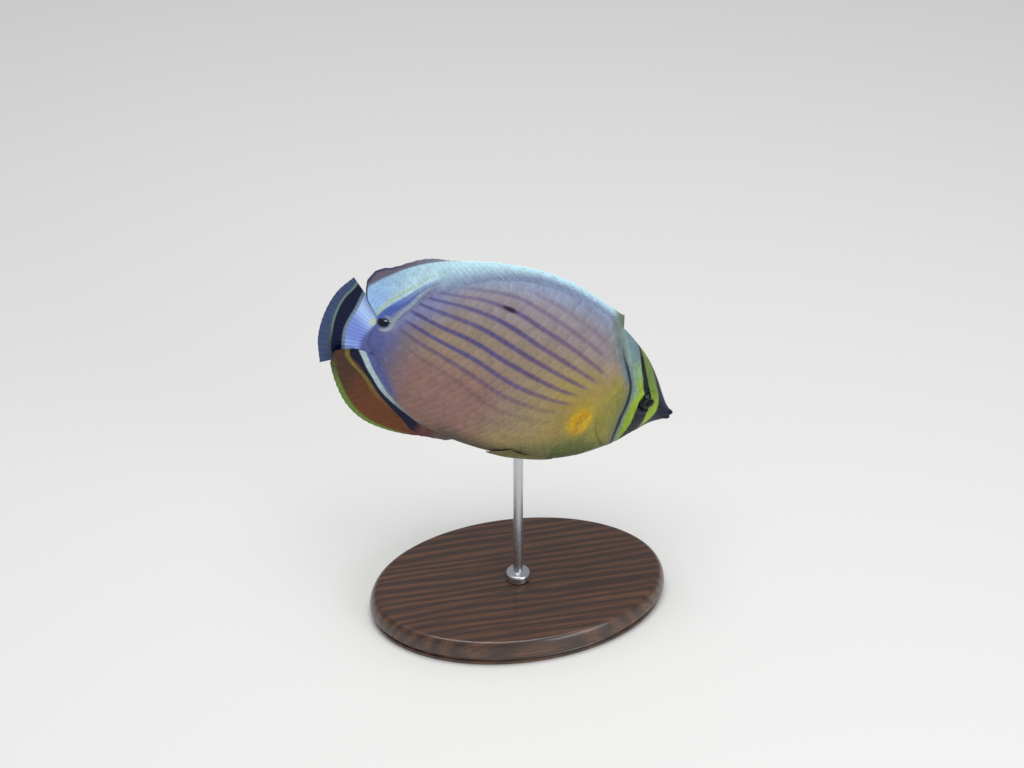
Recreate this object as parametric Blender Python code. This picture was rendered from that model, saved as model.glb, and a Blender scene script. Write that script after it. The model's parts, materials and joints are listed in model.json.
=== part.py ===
"""Oval butterflyfish: a still, life-size model of a swimming fish on a small display stand.

The fish is first drawn straight and level, with the tip of its snout at the origin and its
nose along +X. Outlines are given as shares of its standard length: s runs back from the tip
of the snout, h runs up from it. Each part is a closed shell over a grid with the same
triangles on its left and its right face. The finished shells are then bent, pitched nose
down and set on the rod of the stand, whose foot is the origin of the whole model.
"""
import math

import bmesh
import bpy
import numpy as np
from mathutils import Matrix, Vector

# Driving dimensions, in metres and radians
STANDARD_LENGTH = 0.105
GAP = 0.0003
PITCH_DOWN = math.radians(24.0)
HEAD_TURN = math.radians(6.0)
TAIL_TURN = math.radians(5.0)
BEND_MIDDLE = 0.42
TAIL_END = 1.18

ROD_HEIGHT = 0.060
ROD_RADIUS = 0.0016
ROD_IN_BODY = 0.009
ROD_IN_BASE = 0.006
ROD_PLACE = 0.42
COLLAR_RADIUS = 0.0040
COLLAR_HEIGHT = 0.0030
BASE_LENGTH = 0.100
BASE_WIDTH = 0.066
BASE_HEIGHT = 0.009
BASE_BEVEL = 0.0012

KEEL_HALF = 0.0008
FIN_ROOT_HALF = 0.00075
FIN_EDGE_HALF = 0.00026
FIN_THINS_BY = 0.6
RAY_RIDGE = 0.00022
RAY_TAPER = 0.5
SPINE_HALF = 0.00060
SPINE_TAPER = 0.45

DORSAL_SPINES = 13
DORSAL_RAYS = 21
ANAL_SPINES = 3
ANAL_RAYS = 20
CAUDAL_RAYS = 17
PECTORAL_RAYS = 14
PELVIC_RAYS = 6

# Grids of the shells as (columns, rows), and the sides of the rod
HEAD_GRID = (22, 18)
TRUNK_GRID = (20, 18)
STALK_GRID = (5, 16)
EDGE_FIN_ROWS = 5
CAUDAL_ROWS = 6
PECTORAL_ROWS = 5
PELVIC_ROWS = 6
ROD_SIDES = 24
BASE_SIDES = 48
HEAD_BUNCH = 1.15

EYE_PLACE = (0.136, 0.060)
EYE_RADIUS = 0.0039
EYE_DEPTH = 0.0026
EYE_PROUD = 0.0014
EYE_FORWARD = math.radians(9.0)
EYE_SEGMENTS = 24
EYE_RINGS = 14

# The raised gill cover, the fold of the cheek and the rim of the orbit, and where they end
COVER_RAISE = 0.00040
COVER_START = 0.050
COVER_FULL = 0.008
FOLD_RAISE = 0.00022
FOLD_AHEAD = 0.085
FOLD_SPREAD = 0.010
RIM_RAISE = 0.00040
RIM_SPREAD = 0.0015
EDGE_FLAT = 0.08
EDGE_FULL = 0.35

# Lips as (s, h, radii in metres), and the slit of the mouth between them
LIPS = [(0.014, 0.0100, (0.0021, 0.0021, 0.00115)), (0.017, -0.0085, (0.0020, 0.0020, 0.00110))]
MOUTH_PLACE = (0.010, 0.0005)
MOUTH_SIZE = (0.0056, 0.012, 0.00036)
MOUTH_TILT = math.radians(-8.0)
NOSTRILS = [(0.068, 0.036), (0.079, 0.048)]
NOSTRIL_RADII = (0.00050, 0.00070, 0.00045)

# Outlines of the body as (s, value), shares of the standard length
BACK = [
    (0.0, 0.012), (0.03, 0.034), (0.06, 0.066), (0.10, 0.112), (0.16, 0.172), (0.24, 0.230),
    (0.33, 0.279), (0.45, 0.320), (0.58, 0.337), (0.70, 0.328), (0.80, 0.294), (0.87, 0.250),
    (0.915, 0.208), (0.945, 0.162), (0.965, 0.120), (0.985, 0.090), (1.03, 0.078),
]
BELLY = [
    (0.0, -0.012), (0.03, -0.024), (0.06, -0.041), (0.10, -0.076), (0.14, -0.122),
    (0.21, -0.181), (0.32, -0.237), (0.45, -0.258), (0.58, -0.258), (0.68, -0.247),
    (0.78, -0.222), (0.86, -0.182), (0.92, -0.136), (0.955, -0.099), (0.98, -0.062),
    (1.0, -0.037), (1.03, -0.022),
]
HALF_WIDTH = [
    (0.0, 0.010), (0.03, 0.020), (0.06, 0.028), (0.10, 0.042), (0.16, 0.062), (0.24, 0.080),
    (0.33, 0.090), (0.45, 0.092), (0.58, 0.085), (0.70, 0.071), (0.80, 0.055), (0.88, 0.040),
    (0.94, 0.029), (1.0, 0.019), (1.03, 0.015),
]
# How far the section of the body is drawn out into an edge, near the head and near the tail
SECTION_FRONT = 0.60
SECTION_REAR = 0.88
SECTION_CHANGE = (0.55, 0.92)
SECTION_POWER = 2.2
LEVEL_BUNCH = 0.75

# The rear edge of the head as (level, s), from the throat at -1 to the nape at 1
HEAD_EDGE = [
    (-1.0, 0.170), (-0.6, 0.225), (-0.2, 0.284), (0.1, 0.291), (0.45, 0.264), (1.0, 0.262),
]
STALK_EDGE = 0.945
STALK_END = 1.0

# Fin bases as (ray, s) and fin margins as (ray, s, h)
DORSAL_BASE = [
    (0, 0.275), (12, 0.640), (13, 0.665), (22, 0.835), (27, 0.908), (30, 0.945), (33, 0.982),
]
DORSAL_MARGIN = [
    (0, 0.335, 0.310), (3, 0.450, 0.351), (6, 0.553, 0.374), (9, 0.648, 0.379),
    (12, 0.735, 0.369), (16, 0.815, 0.351), (20, 0.885, 0.332), (26, 0.992, 0.300),
    (28, 1.045, 0.265), (30, 1.096, 0.233), (31, 1.106, 0.197), (32, 1.088, 0.145),
    (33, 1.036, 0.093),
]
ANAL_BASE = [(0, 0.620), (2, 0.670), (3, 0.695), (12, 0.860), (17, 0.932), (20, 0.966), (22, 0.990)]
ANAL_MARGIN = [
    (0, 0.668, -0.261), (2, 0.745, -0.267), (4, 0.800, -0.273), (7, 0.870, -0.273),
    (10, 0.935, -0.261), (14, 1.010, -0.218), (17, 1.060, -0.165), (19, 1.090, -0.124),
    (20, 1.106, -0.096), (21, 1.104, -0.064), (22, 1.050, -0.046),
]
CAUDAL_MARGIN = [
    (0, 1.138, 0.182), (4, 1.166, 0.118), (8, 1.174, 0.038), (12, 1.162, -0.044),
    (16, 1.128, -0.118),
]
CAUDAL_BASE_TOP = 0.072
CAUDAL_BASE_BOTTOM = -0.018
CAUDAL_SWEEP = 0.12
LOBE_OUT = 0.0011
LOBE_CHANGE = (0.96, 1.08)
SPINE_NOTCH = 0.10
RAY_NOTCH = 0.015

# The side fins: the two ends of the root as (s, h), and the length of the rays as (share, share)
PECTORAL_ROOT = ((0.314, -0.006), (0.328, -0.076))
PECTORAL_LENGTH = 0.026
PECTORAL_MARGIN = [
    (0, 0.80), (0.12, 0.94), (0.28, 1.0), (0.45, 0.97), (0.65, 0.85), (0.85, 0.68), (1, 0.54),
]
PECTORAL_OUT = math.radians(30.0)
PECTORAL_UP = math.radians(14.0)
PECTORAL_DOWN = math.radians(-46.0)
PECTORAL_ROOT_SHIFT = 1.2
PECTORAL_ROOT_BLEND = 0.10

# The belly fins, between two levels that part towards the tips
PELVIC_ROOT = 0.325
PELVIC_LENGTH = 0.215
PELVIC_INNER = (-0.955, -0.945)
PELVIC_OUTER = (-0.935, -0.815)
PELVIC_OUTER_SHORT = 0.28
PELVIC_HALF_MOST = 0.0006
PELVIC_LIFT_TIP = 0.0005
PELVIC_NORMAL = (0.80, -0.60)

# Colours, as seen in daylight
SNOUT_NAVY = (0.035, 0.040, 0.070)
FLANK_TAN = (0.50, 0.40, 0.27)
STALK_MAUVE = (0.47, 0.38, 0.45)
DORSAL_BLUE = (0.60, 0.66, 0.76)
ANAL_MAROON = (0.42, 0.20, 0.09)
TAIL_PALE = (0.66, 0.66, 0.74)
FIN_CLEAR = (0.70, 0.62, 0.42)
EYE_BLACK = (0.020, 0.020, 0.022)
WOOD_DARK = (0.075, 0.050, 0.035)
STEEL = (0.62, 0.62, 0.62)


def smooth(points, place, column=1):
    """Reads a smooth curve through points, whose first number is the place."""
    places = np.array([point[0] for point in points], float)
    values = np.array([point[column] for point in points], float)
    slopes = np.gradient(values, places)
    i = int(np.clip(np.searchsorted(places, place) - 1, 0, len(places) - 2))
    span = places[i + 1] - places[i]
    t = min(max((place - places[i]) / span, 0.0), 1.0)
    rise = 3 * t**2 - 2 * t**3
    start = (t**3 - 2 * t**2 + t) * span * slopes[i]
    end = (t**3 - t**2) * span * slopes[i + 1]
    return float(values[i] * (1 - rise) + values[i + 1] * rise + start + end)


def ramp(value, low, high):
    """Goes smoothly from 0 at low to 1 at high."""
    t = min(max((value - low) / (high - low), 0.0), 1.0)
    return t * t * (3 - 2 * t)


def straight(s, y, h):
    """A point of the straight fish, from shares s and h and a side distance in metres."""
    return Vector((-s * STANDARD_LENGTH, y, h * STANDARD_LENGTH))


def flank(s, level):
    """Height share and half width in metres of the body at a level from -1 to 1."""
    back = smooth(BACK, s)
    belly = smooth(BELLY, s)
    height = (back + belly) / 2 + level * (back - belly) / 2
    width = smooth(HALF_WIDTH, s) * STANDARD_LENGTH
    drawn = SECTION_FRONT + (SECTION_REAR - SECTION_FRONT) * ramp(s, *SECTION_CHANGE)
    width = width * (1 - min(abs(level), 1.0) ** SECTION_POWER) ** drawn
    return height, max(width, KEEL_HALF)


def level_at(s, h):
    """The level of a height share h at s."""
    back = smooth(BACK, s)
    belly = smooth(BELLY, s)
    return (h - (back + belly) / 2) / ((back - belly) / 2)


def outline_point(edge, s, out, side):
    """A point moved out, in metres, from the back or the belly, square to its outline."""
    step = 0.004
    slope = (smooth(edge, s + step) - smooth(edge, s - step)) / (2 * step)
    length = math.hypot(slope, 1.0)
    shift = out / STANDARD_LENGTH
    return s - side * slope / length * shift, smooth(edge, s) + side * shift / length


def bend(point):
    """Curves the straight fish to its left about its middle."""
    back = -point.x - BEND_MIDDLE * STANDARD_LENGTH
    if back > 0:
        radius = (TAIL_END - BEND_MIDDLE) * STANDARD_LENGTH / TAIL_TURN
    else:
        radius = BEND_MIDDLE * STANDARD_LENGTH / HEAD_TURN
    turn = back / radius
    inner = radius - point.y
    return Vector((-inner * math.sin(turn), radius - inner * math.cos(turn), point.z))


def pose(point):
    """Bends a point of the straight fish, pitches it nose down and sets it on the rod."""
    foot = Vector((0.0, 0.0, smooth(BELLY, ROD_PLACE) * STANDARD_LENGTH))
    turned = Matrix.Rotation(PITCH_DOWN, 3, "Y") @ (bend(point) - foot)
    return turned + Vector((0.0, 0.0, ROD_HEIGHT))


def material(name, colour, roughness, metallic=0.0):
    """A plain Principled material in one colour."""
    made = bpy.data.materials.new(name)
    made.use_nodes = True
    shader = made.node_tree.nodes["Principled BSDF"]
    shader.inputs["Base Color"].default_value = (*colour, 1.0)
    shader.inputs["Roughness"].default_value = roughness
    shader.inputs["Metallic"].default_value = metallic
    return made


def add_object(name, shape, finish=None):
    """Turns a bmesh into a smooth-shaded object with its finish."""
    mesh = bpy.data.meshes.new(name)
    shape.to_mesh(mesh)
    shape.free()
    mesh.shade_smooth()
    mesh.set_sharp_from_angle(angle=math.radians(35))
    if finish:
        mesh.materials.append(finish)
    made = bpy.data.objects.new(name, mesh)
    bpy.context.collection.objects.link(made)
    return made


def shell(columns, rows, place):
    """A closed shell over a grid, from place(u, v, side) with side 1 on the left, -1 on the right."""
    shape = bmesh.new()
    bmesh.ops.create_grid(shape, x_segments=columns, y_segments=rows, size=0.5)
    bmesh.ops.triangulate(shape, faces=shape.faces[:])
    grid = {vertex.index: (vertex.co.x + 0.5, vertex.co.y + 0.5) for vertex in shape.verts}
    left = shape.verts[:]
    grown = bmesh.ops.extrude_face_region(shape, geom=shape.faces[:], use_keep_orig=True)
    right = [item for item in grown["geom"] if isinstance(item, bmesh.types.BMVert)]
    partner = {(round(v.co.x, 6), round(v.co.y, 6)): v for v in right}
    for vertex in left:
        u, v = grid[vertex.index]
        twin = partner[(round(vertex.co.x, 6), round(vertex.co.y, 6))]
        twin.co = place(u, v, -1)
        vertex.co = place(u, v, 1)
    bmesh.ops.recalc_face_normals(shape, faces=shape.faces[:])
    return shape


def ball(centre, radii, segments, rings, yaw=0.0):
    """An ellipsoid with its poles at the two sides, turned by yaw about its upright axis."""
    shape = bmesh.new()
    turn = Matrix.Rotation(math.radians(90), 4, "X")
    stretch = Matrix.Diagonal((*radii, 1.0))
    bmesh.ops.create_uvsphere(
        shape, u_segments=segments, v_segments=rings, radius=1.0,
        matrix=Matrix.Translation(centre) @ Matrix.Rotation(yaw, 4, "Z") @ stretch @ turn,
    )
    return shape


def eyeball(side, extra=0.0):
    """The ellipsoid of one eye, larger all round by extra, proud of the side of the head."""
    s, h = EYE_PLACE
    out = flank(s, level_at(s, h))[1] + EYE_PROUD - EYE_DEPTH
    radii = (EYE_RADIUS + extra, EYE_DEPTH + extra, EYE_RADIUS + extra)
    return ball(straight(s, side * out, h), radii, EYE_SEGMENTS, EYE_RINGS, -side * EYE_FORWARD)


def largest_surface(mesh):
    """Keeps only the largest closed surface of a mesh."""
    shape = bmesh.new()
    shape.from_mesh(mesh)
    left = set(shape.faces)
    groups = []
    while left:
        group = {left.pop()}
        front = list(group)
        while front:
            face = front.pop()
            for edge in face.edges:
                for other in edge.link_faces:
                    if other in left:
                        left.discard(other)
                        group.add(other)
                        front.append(other)
        groups.append(group)
    groups.sort(key=lambda group: sum(face.calc_area() for face in group))
    scraps = [face for group in groups[:-1] for face in group]
    bmesh.ops.delete(shape, geom=scraps, context="FACES")
    loose = [vertex for vertex in shape.verts if not vertex.link_faces]
    bmesh.ops.delete(shape, geom=loose, context="VERTS")
    shape.to_mesh(mesh)
    shape.free()


def combine(target, pieces, operation):
    """Joins pieces to the target, or cuts them from it, and removes them."""
    group = bpy.data.collections.new("pieces")
    for piece in pieces:
        group.objects.link(piece)
    step = target.modifiers.new(operation.lower(), "BOOLEAN")
    step.operation = operation
    step.solver = "EXACT"
    step.operand_type = "COLLECTION"
    step.collection = group
    bpy.context.view_layer.update()
    graph = bpy.context.evaluated_depsgraph_get()
    mesh = bpy.data.meshes.new_from_object(target.evaluated_get(graph))
    largest_surface(mesh)
    target.modifiers.clear()
    target.data = mesh
    for piece in pieces:
        bpy.data.objects.remove(piece)
    bpy.data.collections.remove(group)


def set_pose(target):
    """Moves every point of a straight piece to its place on the stand."""
    for vertex in target.data.vertices:
        vertex.co = pose(vertex.co)
    target.data.update()


def spread(u):
    """A level from -1 to 1 for u from 0 to 1, closer together near the two ends."""
    even = 2 * u - 1
    return (1 - LEVEL_BUNCH) * even + LEVEL_BUNCH * math.sin(even * math.pi / 2)


def head_width(s, level, edge):
    """Half width of the head, with its raised gill cover, cheek fold and orbit rim."""
    height, width = flank(s, level)
    inside = ramp(1 - abs(level), EDGE_FLAT, EDGE_FULL)
    cover = COVER_RAISE * ramp(s, edge - COVER_START, edge - COVER_FULL)
    fold = FOLD_RAISE * math.exp(-(((s - edge + FOLD_AHEAD) / FOLD_SPREAD) ** 2))
    away = math.hypot(s - EYE_PLACE[0], height - EYE_PLACE[1]) * STANDARD_LENGTH
    rim = RIM_RAISE * math.exp(-(((away - EYE_RADIUS * 1.1) / RIM_SPREAD) ** 2))
    return height, width + inside * (cover + fold + rim)


def build_head(finish):
    """The head, with its lips, mouth, nostrils and the sockets of the eyes."""

    def place(u, v, side):
        level = spread(v)
        edge = smooth(HEAD_EDGE, level) - GAP / 2 / STANDARD_LENGTH
        s = edge * u**HEAD_BUNCH
        height, width = head_width(s, level, edge)
        return straight(s, side * width, height)

    head = add_object("head", shell(*HEAD_GRID, place), finish)
    lips = [add_object("lip", ball(straight(s, 0.0, h), radii, 12, 8)) for s, h, radii in LIPS]
    combine(head, lips, "UNION")

    slit = bmesh.new()
    line = Matrix.Translation(straight(MOUTH_PLACE[0], 0.0, MOUTH_PLACE[1]))
    line = line @ Matrix.Rotation(MOUTH_TILT, 4, "Y")
    bmesh.ops.create_cube(slit, size=1.0, matrix=line @ Matrix.Diagonal((*MOUTH_SIZE, 1.0)))
    cutters = [add_object("mouth_cutter", slit)]
    for side in (-1, 1):
        cutters.append(add_object("socket_cutter", eyeball(side, GAP)))
        for s, h in NOSTRILS:
            width = flank(s, level_at(s, h))[1]
            pit = ball(straight(s, side * width, h), NOSTRIL_RADII, 8, 6)
            cutters.append(add_object("nostril_cutter", pit))
    combine(head, cutters, "DIFFERENCE")
    set_pose(head)


def build_eye(name, side, finish):
    """One eyeball, deep in its socket with its cornea standing a little proud."""
    set_pose(add_object(name, eyeball(side), finish))


def build_trunk(finish):
    """The trunk, from the gill covers to the tail stalk, with the socket for the rod."""

    def place(u, v, side):
        level = spread(v)
        start = smooth(HEAD_EDGE, level) + GAP / 2 / STANDARD_LENGTH
        end = STALK_EDGE - GAP / 2 / STANDARD_LENGTH
        s = start + (end - start) * u
        height, width = flank(s, level)
        return straight(s, side * width, height)

    trunk = add_object("trunk", shell(*TRUNK_GRID, place), finish)
    set_pose(trunk)
    socket = bmesh.new()
    top = ROD_HEIGHT + ROD_IN_BODY + GAP
    bottom = ROD_HEIGHT - 0.010
    bmesh.ops.create_cone(
        socket, cap_ends=True, segments=ROD_SIDES, radius1=ROD_RADIUS + GAP, radius2=ROD_RADIUS + GAP,
        depth=top - bottom, matrix=Matrix.Translation((0.0, 0.0, (top + bottom) / 2)),
    )
    combine(trunk, [add_object("rod_cutter", socket)], "DIFFERENCE")


def build_stalk(finish):
    """The tail stalk, which ends in the flat root of the tail fin."""

    def place(u, v, side):
        start = STALK_EDGE + GAP / 2 / STANDARD_LENGTH
        s = start + (STALK_END - start) * u
        height, width = flank(s, spread(v))
        return straight(s, side * width, height)

    set_pose(add_object("tail_stalk", shell(*STALK_GRID, place), finish))


def on_a_ray(ray):
    """True on a ray, false on the membrane half way to the next."""
    return abs(ray - round(ray)) < 0.25


def fin_half(ray, v, spines):
    """Half thickness of a fin at a ray number and a share v of the way to its margin."""
    web = FIN_ROOT_HALF + (FIN_EDGE_HALF - FIN_ROOT_HALF) * ramp(v, 0.0, FIN_THINS_BY)
    if not on_a_ray(ray):
        return web
    if round(ray) < spines:
        return max(web, SPINE_HALF * (1 - SPINE_TAPER * v))
    return web + RAY_RIDGE * (1 - RAY_TAPER * v)


def build_edge_fin(name, edge, side, base, margin, spines, rays, finish):
    """A fin along the back or the belly, with a ridge for each ray and a point for each spine."""
    last = spines + rays - 1

    def place(u, v, face):
        ray = u * last
        root_s, root_h = outline_point(edge, smooth(base, ray), GAP, side)
        tip_s = smooth(margin, ray, 1)
        tip_h = smooth(margin, ray, 2)
        notch = SPINE_NOTCH if ray < spines else RAY_NOTCH
        reach = v if on_a_ray(ray) else v * (1 - notch)
        s = root_s + (tip_s - root_s) * reach
        h = root_h + (tip_h - root_h) * reach
        middle = -LOBE_OUT * ramp(s, *LOBE_CHANGE)
        return straight(s, middle + face * fin_half(ray, v, spines), h)

    set_pose(add_object(name, shell(2 * last, EDGE_FIN_ROWS, place), finish))


def build_caudal(finish):
    """The tail fin, spread like a fan and swept a little to the left."""
    last = CAUDAL_RAYS - 1

    def place(u, v, face):
        ray = u * last
        root_s = STALK_END + GAP / STANDARD_LENGTH
        root_h = CAUDAL_BASE_TOP + (CAUDAL_BASE_BOTTOM - CAUDAL_BASE_TOP) * u
        s = root_s + (smooth(CAUDAL_MARGIN, ray, 1) - root_s) * v
        h = root_h + (smooth(CAUDAL_MARGIN, ray, 2) - root_h) * v
        middle = CAUDAL_SWEEP * (s - root_s) * STANDARD_LENGTH
        return straight(s, middle + face * fin_half(ray, v, 0), h)

    set_pose(add_object("caudal_fin", shell(2 * last, CAUDAL_ROWS, place), finish))


def build_pectoral(name, side, finish):
    """A side fin, fanned out behind the gill cover on a short root."""
    last = PECTORAL_RAYS - 1
    away = Vector((-math.cos(PECTORAL_OUT), side * math.sin(PECTORAL_OUT), 0.0))
    across = Vector((math.sin(PECTORAL_OUT), side * math.cos(PECTORAL_OUT), 0.0))
    up = Vector((0.0, 0.0, 1.0))

    def place(u, v, face):
        ray = u * last
        half = fin_half(ray, v, 0)
        root_s = PECTORAL_ROOT[0][0] + (PECTORAL_ROOT[1][0] - PECTORAL_ROOT[0][0]) * u
        root_h = PECTORAL_ROOT[0][1] + (PECTORAL_ROOT[1][1] - PECTORAL_ROOT[0][1]) * u
        lean = PECTORAL_UP + (PECTORAL_DOWN - PECTORAL_UP) * u
        length = PECTORAL_LENGTH * smooth(PECTORAL_MARGIN, u)
        outward = face * side
        s = root_s - outward * half / STANDARD_LENGTH * PECTORAL_ROOT_SHIFT
        root = straight(s, side * (flank(s, level_at(s, root_h))[1] + GAP), root_h)
        middle = straight(root_s, side * (flank(root_s, level_at(root_s, root_h))[1] + GAP), root_h)
        way = away * math.cos(lean) + up * math.sin(lean)
        free = middle + way * length * v + across * outward * half
        return root.lerp(free, ramp(v, 0.0, PECTORAL_ROOT_BLEND))

    set_pose(add_object(name, shell(2 * last, PECTORAL_ROWS, place), finish))


def build_pelvic(name, side, finish):
    """A belly fin, folded back along the lower edge of the trunk."""
    last = PELVIC_RAYS - 1

    def place(u, v, face):
        ray = u * last
        half = min(fin_half(ray, v, 1), PELVIC_HALF_MOST)
        inner = PELVIC_INNER[0] + (PELVIC_INNER[1] - PELVIC_INNER[0]) * v
        outer = PELVIC_OUTER[0] + (PELVIC_OUTER[1] - PELVIC_OUTER[0]) * v
        level = inner + (outer - inner) * u
        s = PELVIC_ROOT + PELVIC_LENGTH * v * (1 - PELVIC_OUTER_SHORT * u * v)
        height, width = flank(s, level)
        point = straight(s, side * width, height)
        normal = Vector((0.0, side * PELVIC_NORMAL[0], PELVIC_NORMAL[1]))
        lift = GAP + PELVIC_HALF_MOST + PELVIC_LIFT_TIP * v
        return point + normal * (lift + face * side * half)

    set_pose(add_object(name, shell(2 * last, PELVIC_ROWS, place), finish))


def build_base(finish):
    """The oval foot of the stand, with a hole for the rod."""
    shape = bmesh.new()
    bmesh.ops.create_cone(
        shape, cap_ends=True, segments=BASE_SIDES, radius1=0.5, radius2=0.5, depth=BASE_HEIGHT,
        matrix=Matrix.Translation((0.0, 0.0, BASE_HEIGHT / 2))
        @ Matrix.Diagonal((BASE_LENGTH, BASE_WIDTH, 1.0, 1.0)),
    )
    rims = [edge for edge in shape.edges if abs(edge.verts[0].co.z - edge.verts[1].co.z) < 1e-6]
    bmesh.ops.bevel(
        shape, geom=rims, offset=BASE_BEVEL, segments=2, profile=0.5, affect="EDGES", material=-1
    )
    base = add_object("stand_base", shape, finish)
    hole = bmesh.new()
    bottom = BASE_HEIGHT - ROD_IN_BASE - GAP
    bmesh.ops.create_cone(
        hole, cap_ends=True, segments=ROD_SIDES, radius1=ROD_RADIUS + GAP, radius2=ROD_RADIUS + GAP,
        depth=0.02, matrix=Matrix.Translation((0.0, 0.0, bottom + 0.01)),
    )
    combine(base, [add_object("hole_cutter", hole)], "DIFFERENCE")


def build_rod(finish):
    """The steel rod with its collar, turned as one profile about the upright axis."""
    low = BASE_HEIGHT - ROD_IN_BASE
    seat = BASE_HEIGHT + GAP
    top = ROD_HEIGHT + ROD_IN_BODY
    profile = [
        (0.0, low), (ROD_RADIUS, low), (ROD_RADIUS, seat), (COLLAR_RADIUS, seat),
        (COLLAR_RADIUS, seat + COLLAR_HEIGHT * 0.7), (COLLAR_RADIUS * 0.85, seat + COLLAR_HEIGHT),
        (ROD_RADIUS, seat + COLLAR_HEIGHT), (ROD_RADIUS, top), (0.0, top),
    ]
    shape = bmesh.new()
    points = [shape.verts.new((radius, 0.0, height)) for radius, height in profile]
    line = [shape.edges.new(pair) for pair in zip(points, points[1:])]
    bmesh.ops.spin(
        shape, geom=points + line, axis=(0, 0, 1), cent=(0, 0, 0), steps=ROD_SIDES,
        angle=math.tau, use_merge=True,
    )
    bmesh.ops.remove_doubles(shape, verts=shape.verts[:], dist=1e-6)
    bmesh.ops.recalc_face_normals(shape, faces=shape.faces[:])
    add_object("stand_rod", shape, finish)


def main():
    for old in list(bpy.data.objects):
        bpy.data.objects.remove(old)
    fin_clear = material("fin_clear", FIN_CLEAR, 0.30)
    build_head(material("head_navy", SNOUT_NAVY, 0.40))
    build_eye("eye_left", 1, material("eye_black_left", EYE_BLACK, 0.08))
    build_eye("eye_right", -1, material("eye_black_right", EYE_BLACK, 0.08))
    build_trunk(material("flank_tan", FLANK_TAN, 0.42))
    build_stalk(material("stalk_mauve", STALK_MAUVE, 0.42))
    build_edge_fin(
        "dorsal_fin", BACK, 1, DORSAL_BASE, DORSAL_MARGIN, DORSAL_SPINES, DORSAL_RAYS,
        material("dorsal_blue", DORSAL_BLUE, 0.38),
    )
    build_edge_fin(
        "anal_fin", BELLY, -1, ANAL_BASE, ANAL_MARGIN, ANAL_SPINES, ANAL_RAYS,
        material("anal_maroon", ANAL_MAROON, 0.38),
    )
    build_caudal(material("tail_pale", TAIL_PALE, 0.34))
    build_pectoral("pectoral_fin_left", 1, fin_clear)
    build_pectoral("pectoral_fin_right", -1, fin_clear)
    build_pelvic("pelvic_fin_left", 1, fin_clear)
    build_pelvic("pelvic_fin_right", -1, fin_clear)
    build_base(material("wood_dark", WOOD_DARK, 0.45))
    build_rod(material("steel", STEEL, 0.28, 1.0))


main()
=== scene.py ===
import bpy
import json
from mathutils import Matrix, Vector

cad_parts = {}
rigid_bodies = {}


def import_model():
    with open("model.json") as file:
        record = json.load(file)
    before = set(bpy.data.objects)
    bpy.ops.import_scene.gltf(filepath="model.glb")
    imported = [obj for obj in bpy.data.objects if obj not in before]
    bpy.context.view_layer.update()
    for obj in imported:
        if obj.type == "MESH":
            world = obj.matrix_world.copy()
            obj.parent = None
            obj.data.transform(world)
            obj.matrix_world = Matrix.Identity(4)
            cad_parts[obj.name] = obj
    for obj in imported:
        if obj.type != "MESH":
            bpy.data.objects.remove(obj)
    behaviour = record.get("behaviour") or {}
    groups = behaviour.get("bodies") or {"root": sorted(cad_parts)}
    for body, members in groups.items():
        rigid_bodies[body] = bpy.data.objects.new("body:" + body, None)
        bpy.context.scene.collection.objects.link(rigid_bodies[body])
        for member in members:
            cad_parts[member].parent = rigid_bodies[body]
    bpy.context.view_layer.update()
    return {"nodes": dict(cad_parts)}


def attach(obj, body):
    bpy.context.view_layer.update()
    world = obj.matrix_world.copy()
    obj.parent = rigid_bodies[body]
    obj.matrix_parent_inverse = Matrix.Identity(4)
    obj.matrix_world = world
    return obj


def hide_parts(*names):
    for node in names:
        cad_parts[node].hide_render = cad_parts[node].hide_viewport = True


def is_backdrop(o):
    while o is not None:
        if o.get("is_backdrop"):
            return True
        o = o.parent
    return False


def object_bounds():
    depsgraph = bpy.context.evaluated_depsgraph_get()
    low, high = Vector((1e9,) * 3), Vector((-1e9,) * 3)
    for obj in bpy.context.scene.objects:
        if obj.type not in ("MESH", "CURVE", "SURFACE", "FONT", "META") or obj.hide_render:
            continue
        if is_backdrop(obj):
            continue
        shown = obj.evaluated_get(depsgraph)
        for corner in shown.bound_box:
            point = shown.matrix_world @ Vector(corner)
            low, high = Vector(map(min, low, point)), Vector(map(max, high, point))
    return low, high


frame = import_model()
print("solids:", ", ".join(sorted(frame["nodes"])))

# %% [markdown]
# # An oval butterflyfish on a display stand
# A butterflyfish is a tall, flat fish of the coral reef. This lesson dresses the plain solids of a
# museum model: one seamless skin, a coat of scales, fins with rays, glossy eyes, and a stand of
# wood and steel. The colours are all worked out by shader nodes, so nothing is painted by hand.
#
# The whole fish is first made straight and level, with the tip of its snout at the origin. Places
# on it are given as shares of its standard length: s runs back from the snout and h runs up. The
# last step of every piece bends it into the swimming pose.

# %% Tools
import json
import math

import bmesh
import bpy
import numpy as np
from mathutils import Matrix, Vector

scene = bpy.context.scene

# %% [markdown]
# ## The camera
# The photo looks down on the fish's right side from a little ahead of square. A long lens at a
# short distance gives the same shallow perspective. The camera's place follows from its two
# angles, its distance and the point in the middle of its view.

# %% Camera
CAMERA_AZIMUTH = math.radians(-13.0)
CAMERA_ELEVATION = math.radians(35.4)
CAMERA_DISTANCE = 0.76
CAMERA_LENS = 85.0
VIEW_MIDDLE = Vector((-0.00222, -0.00066, 0.08915))

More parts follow.
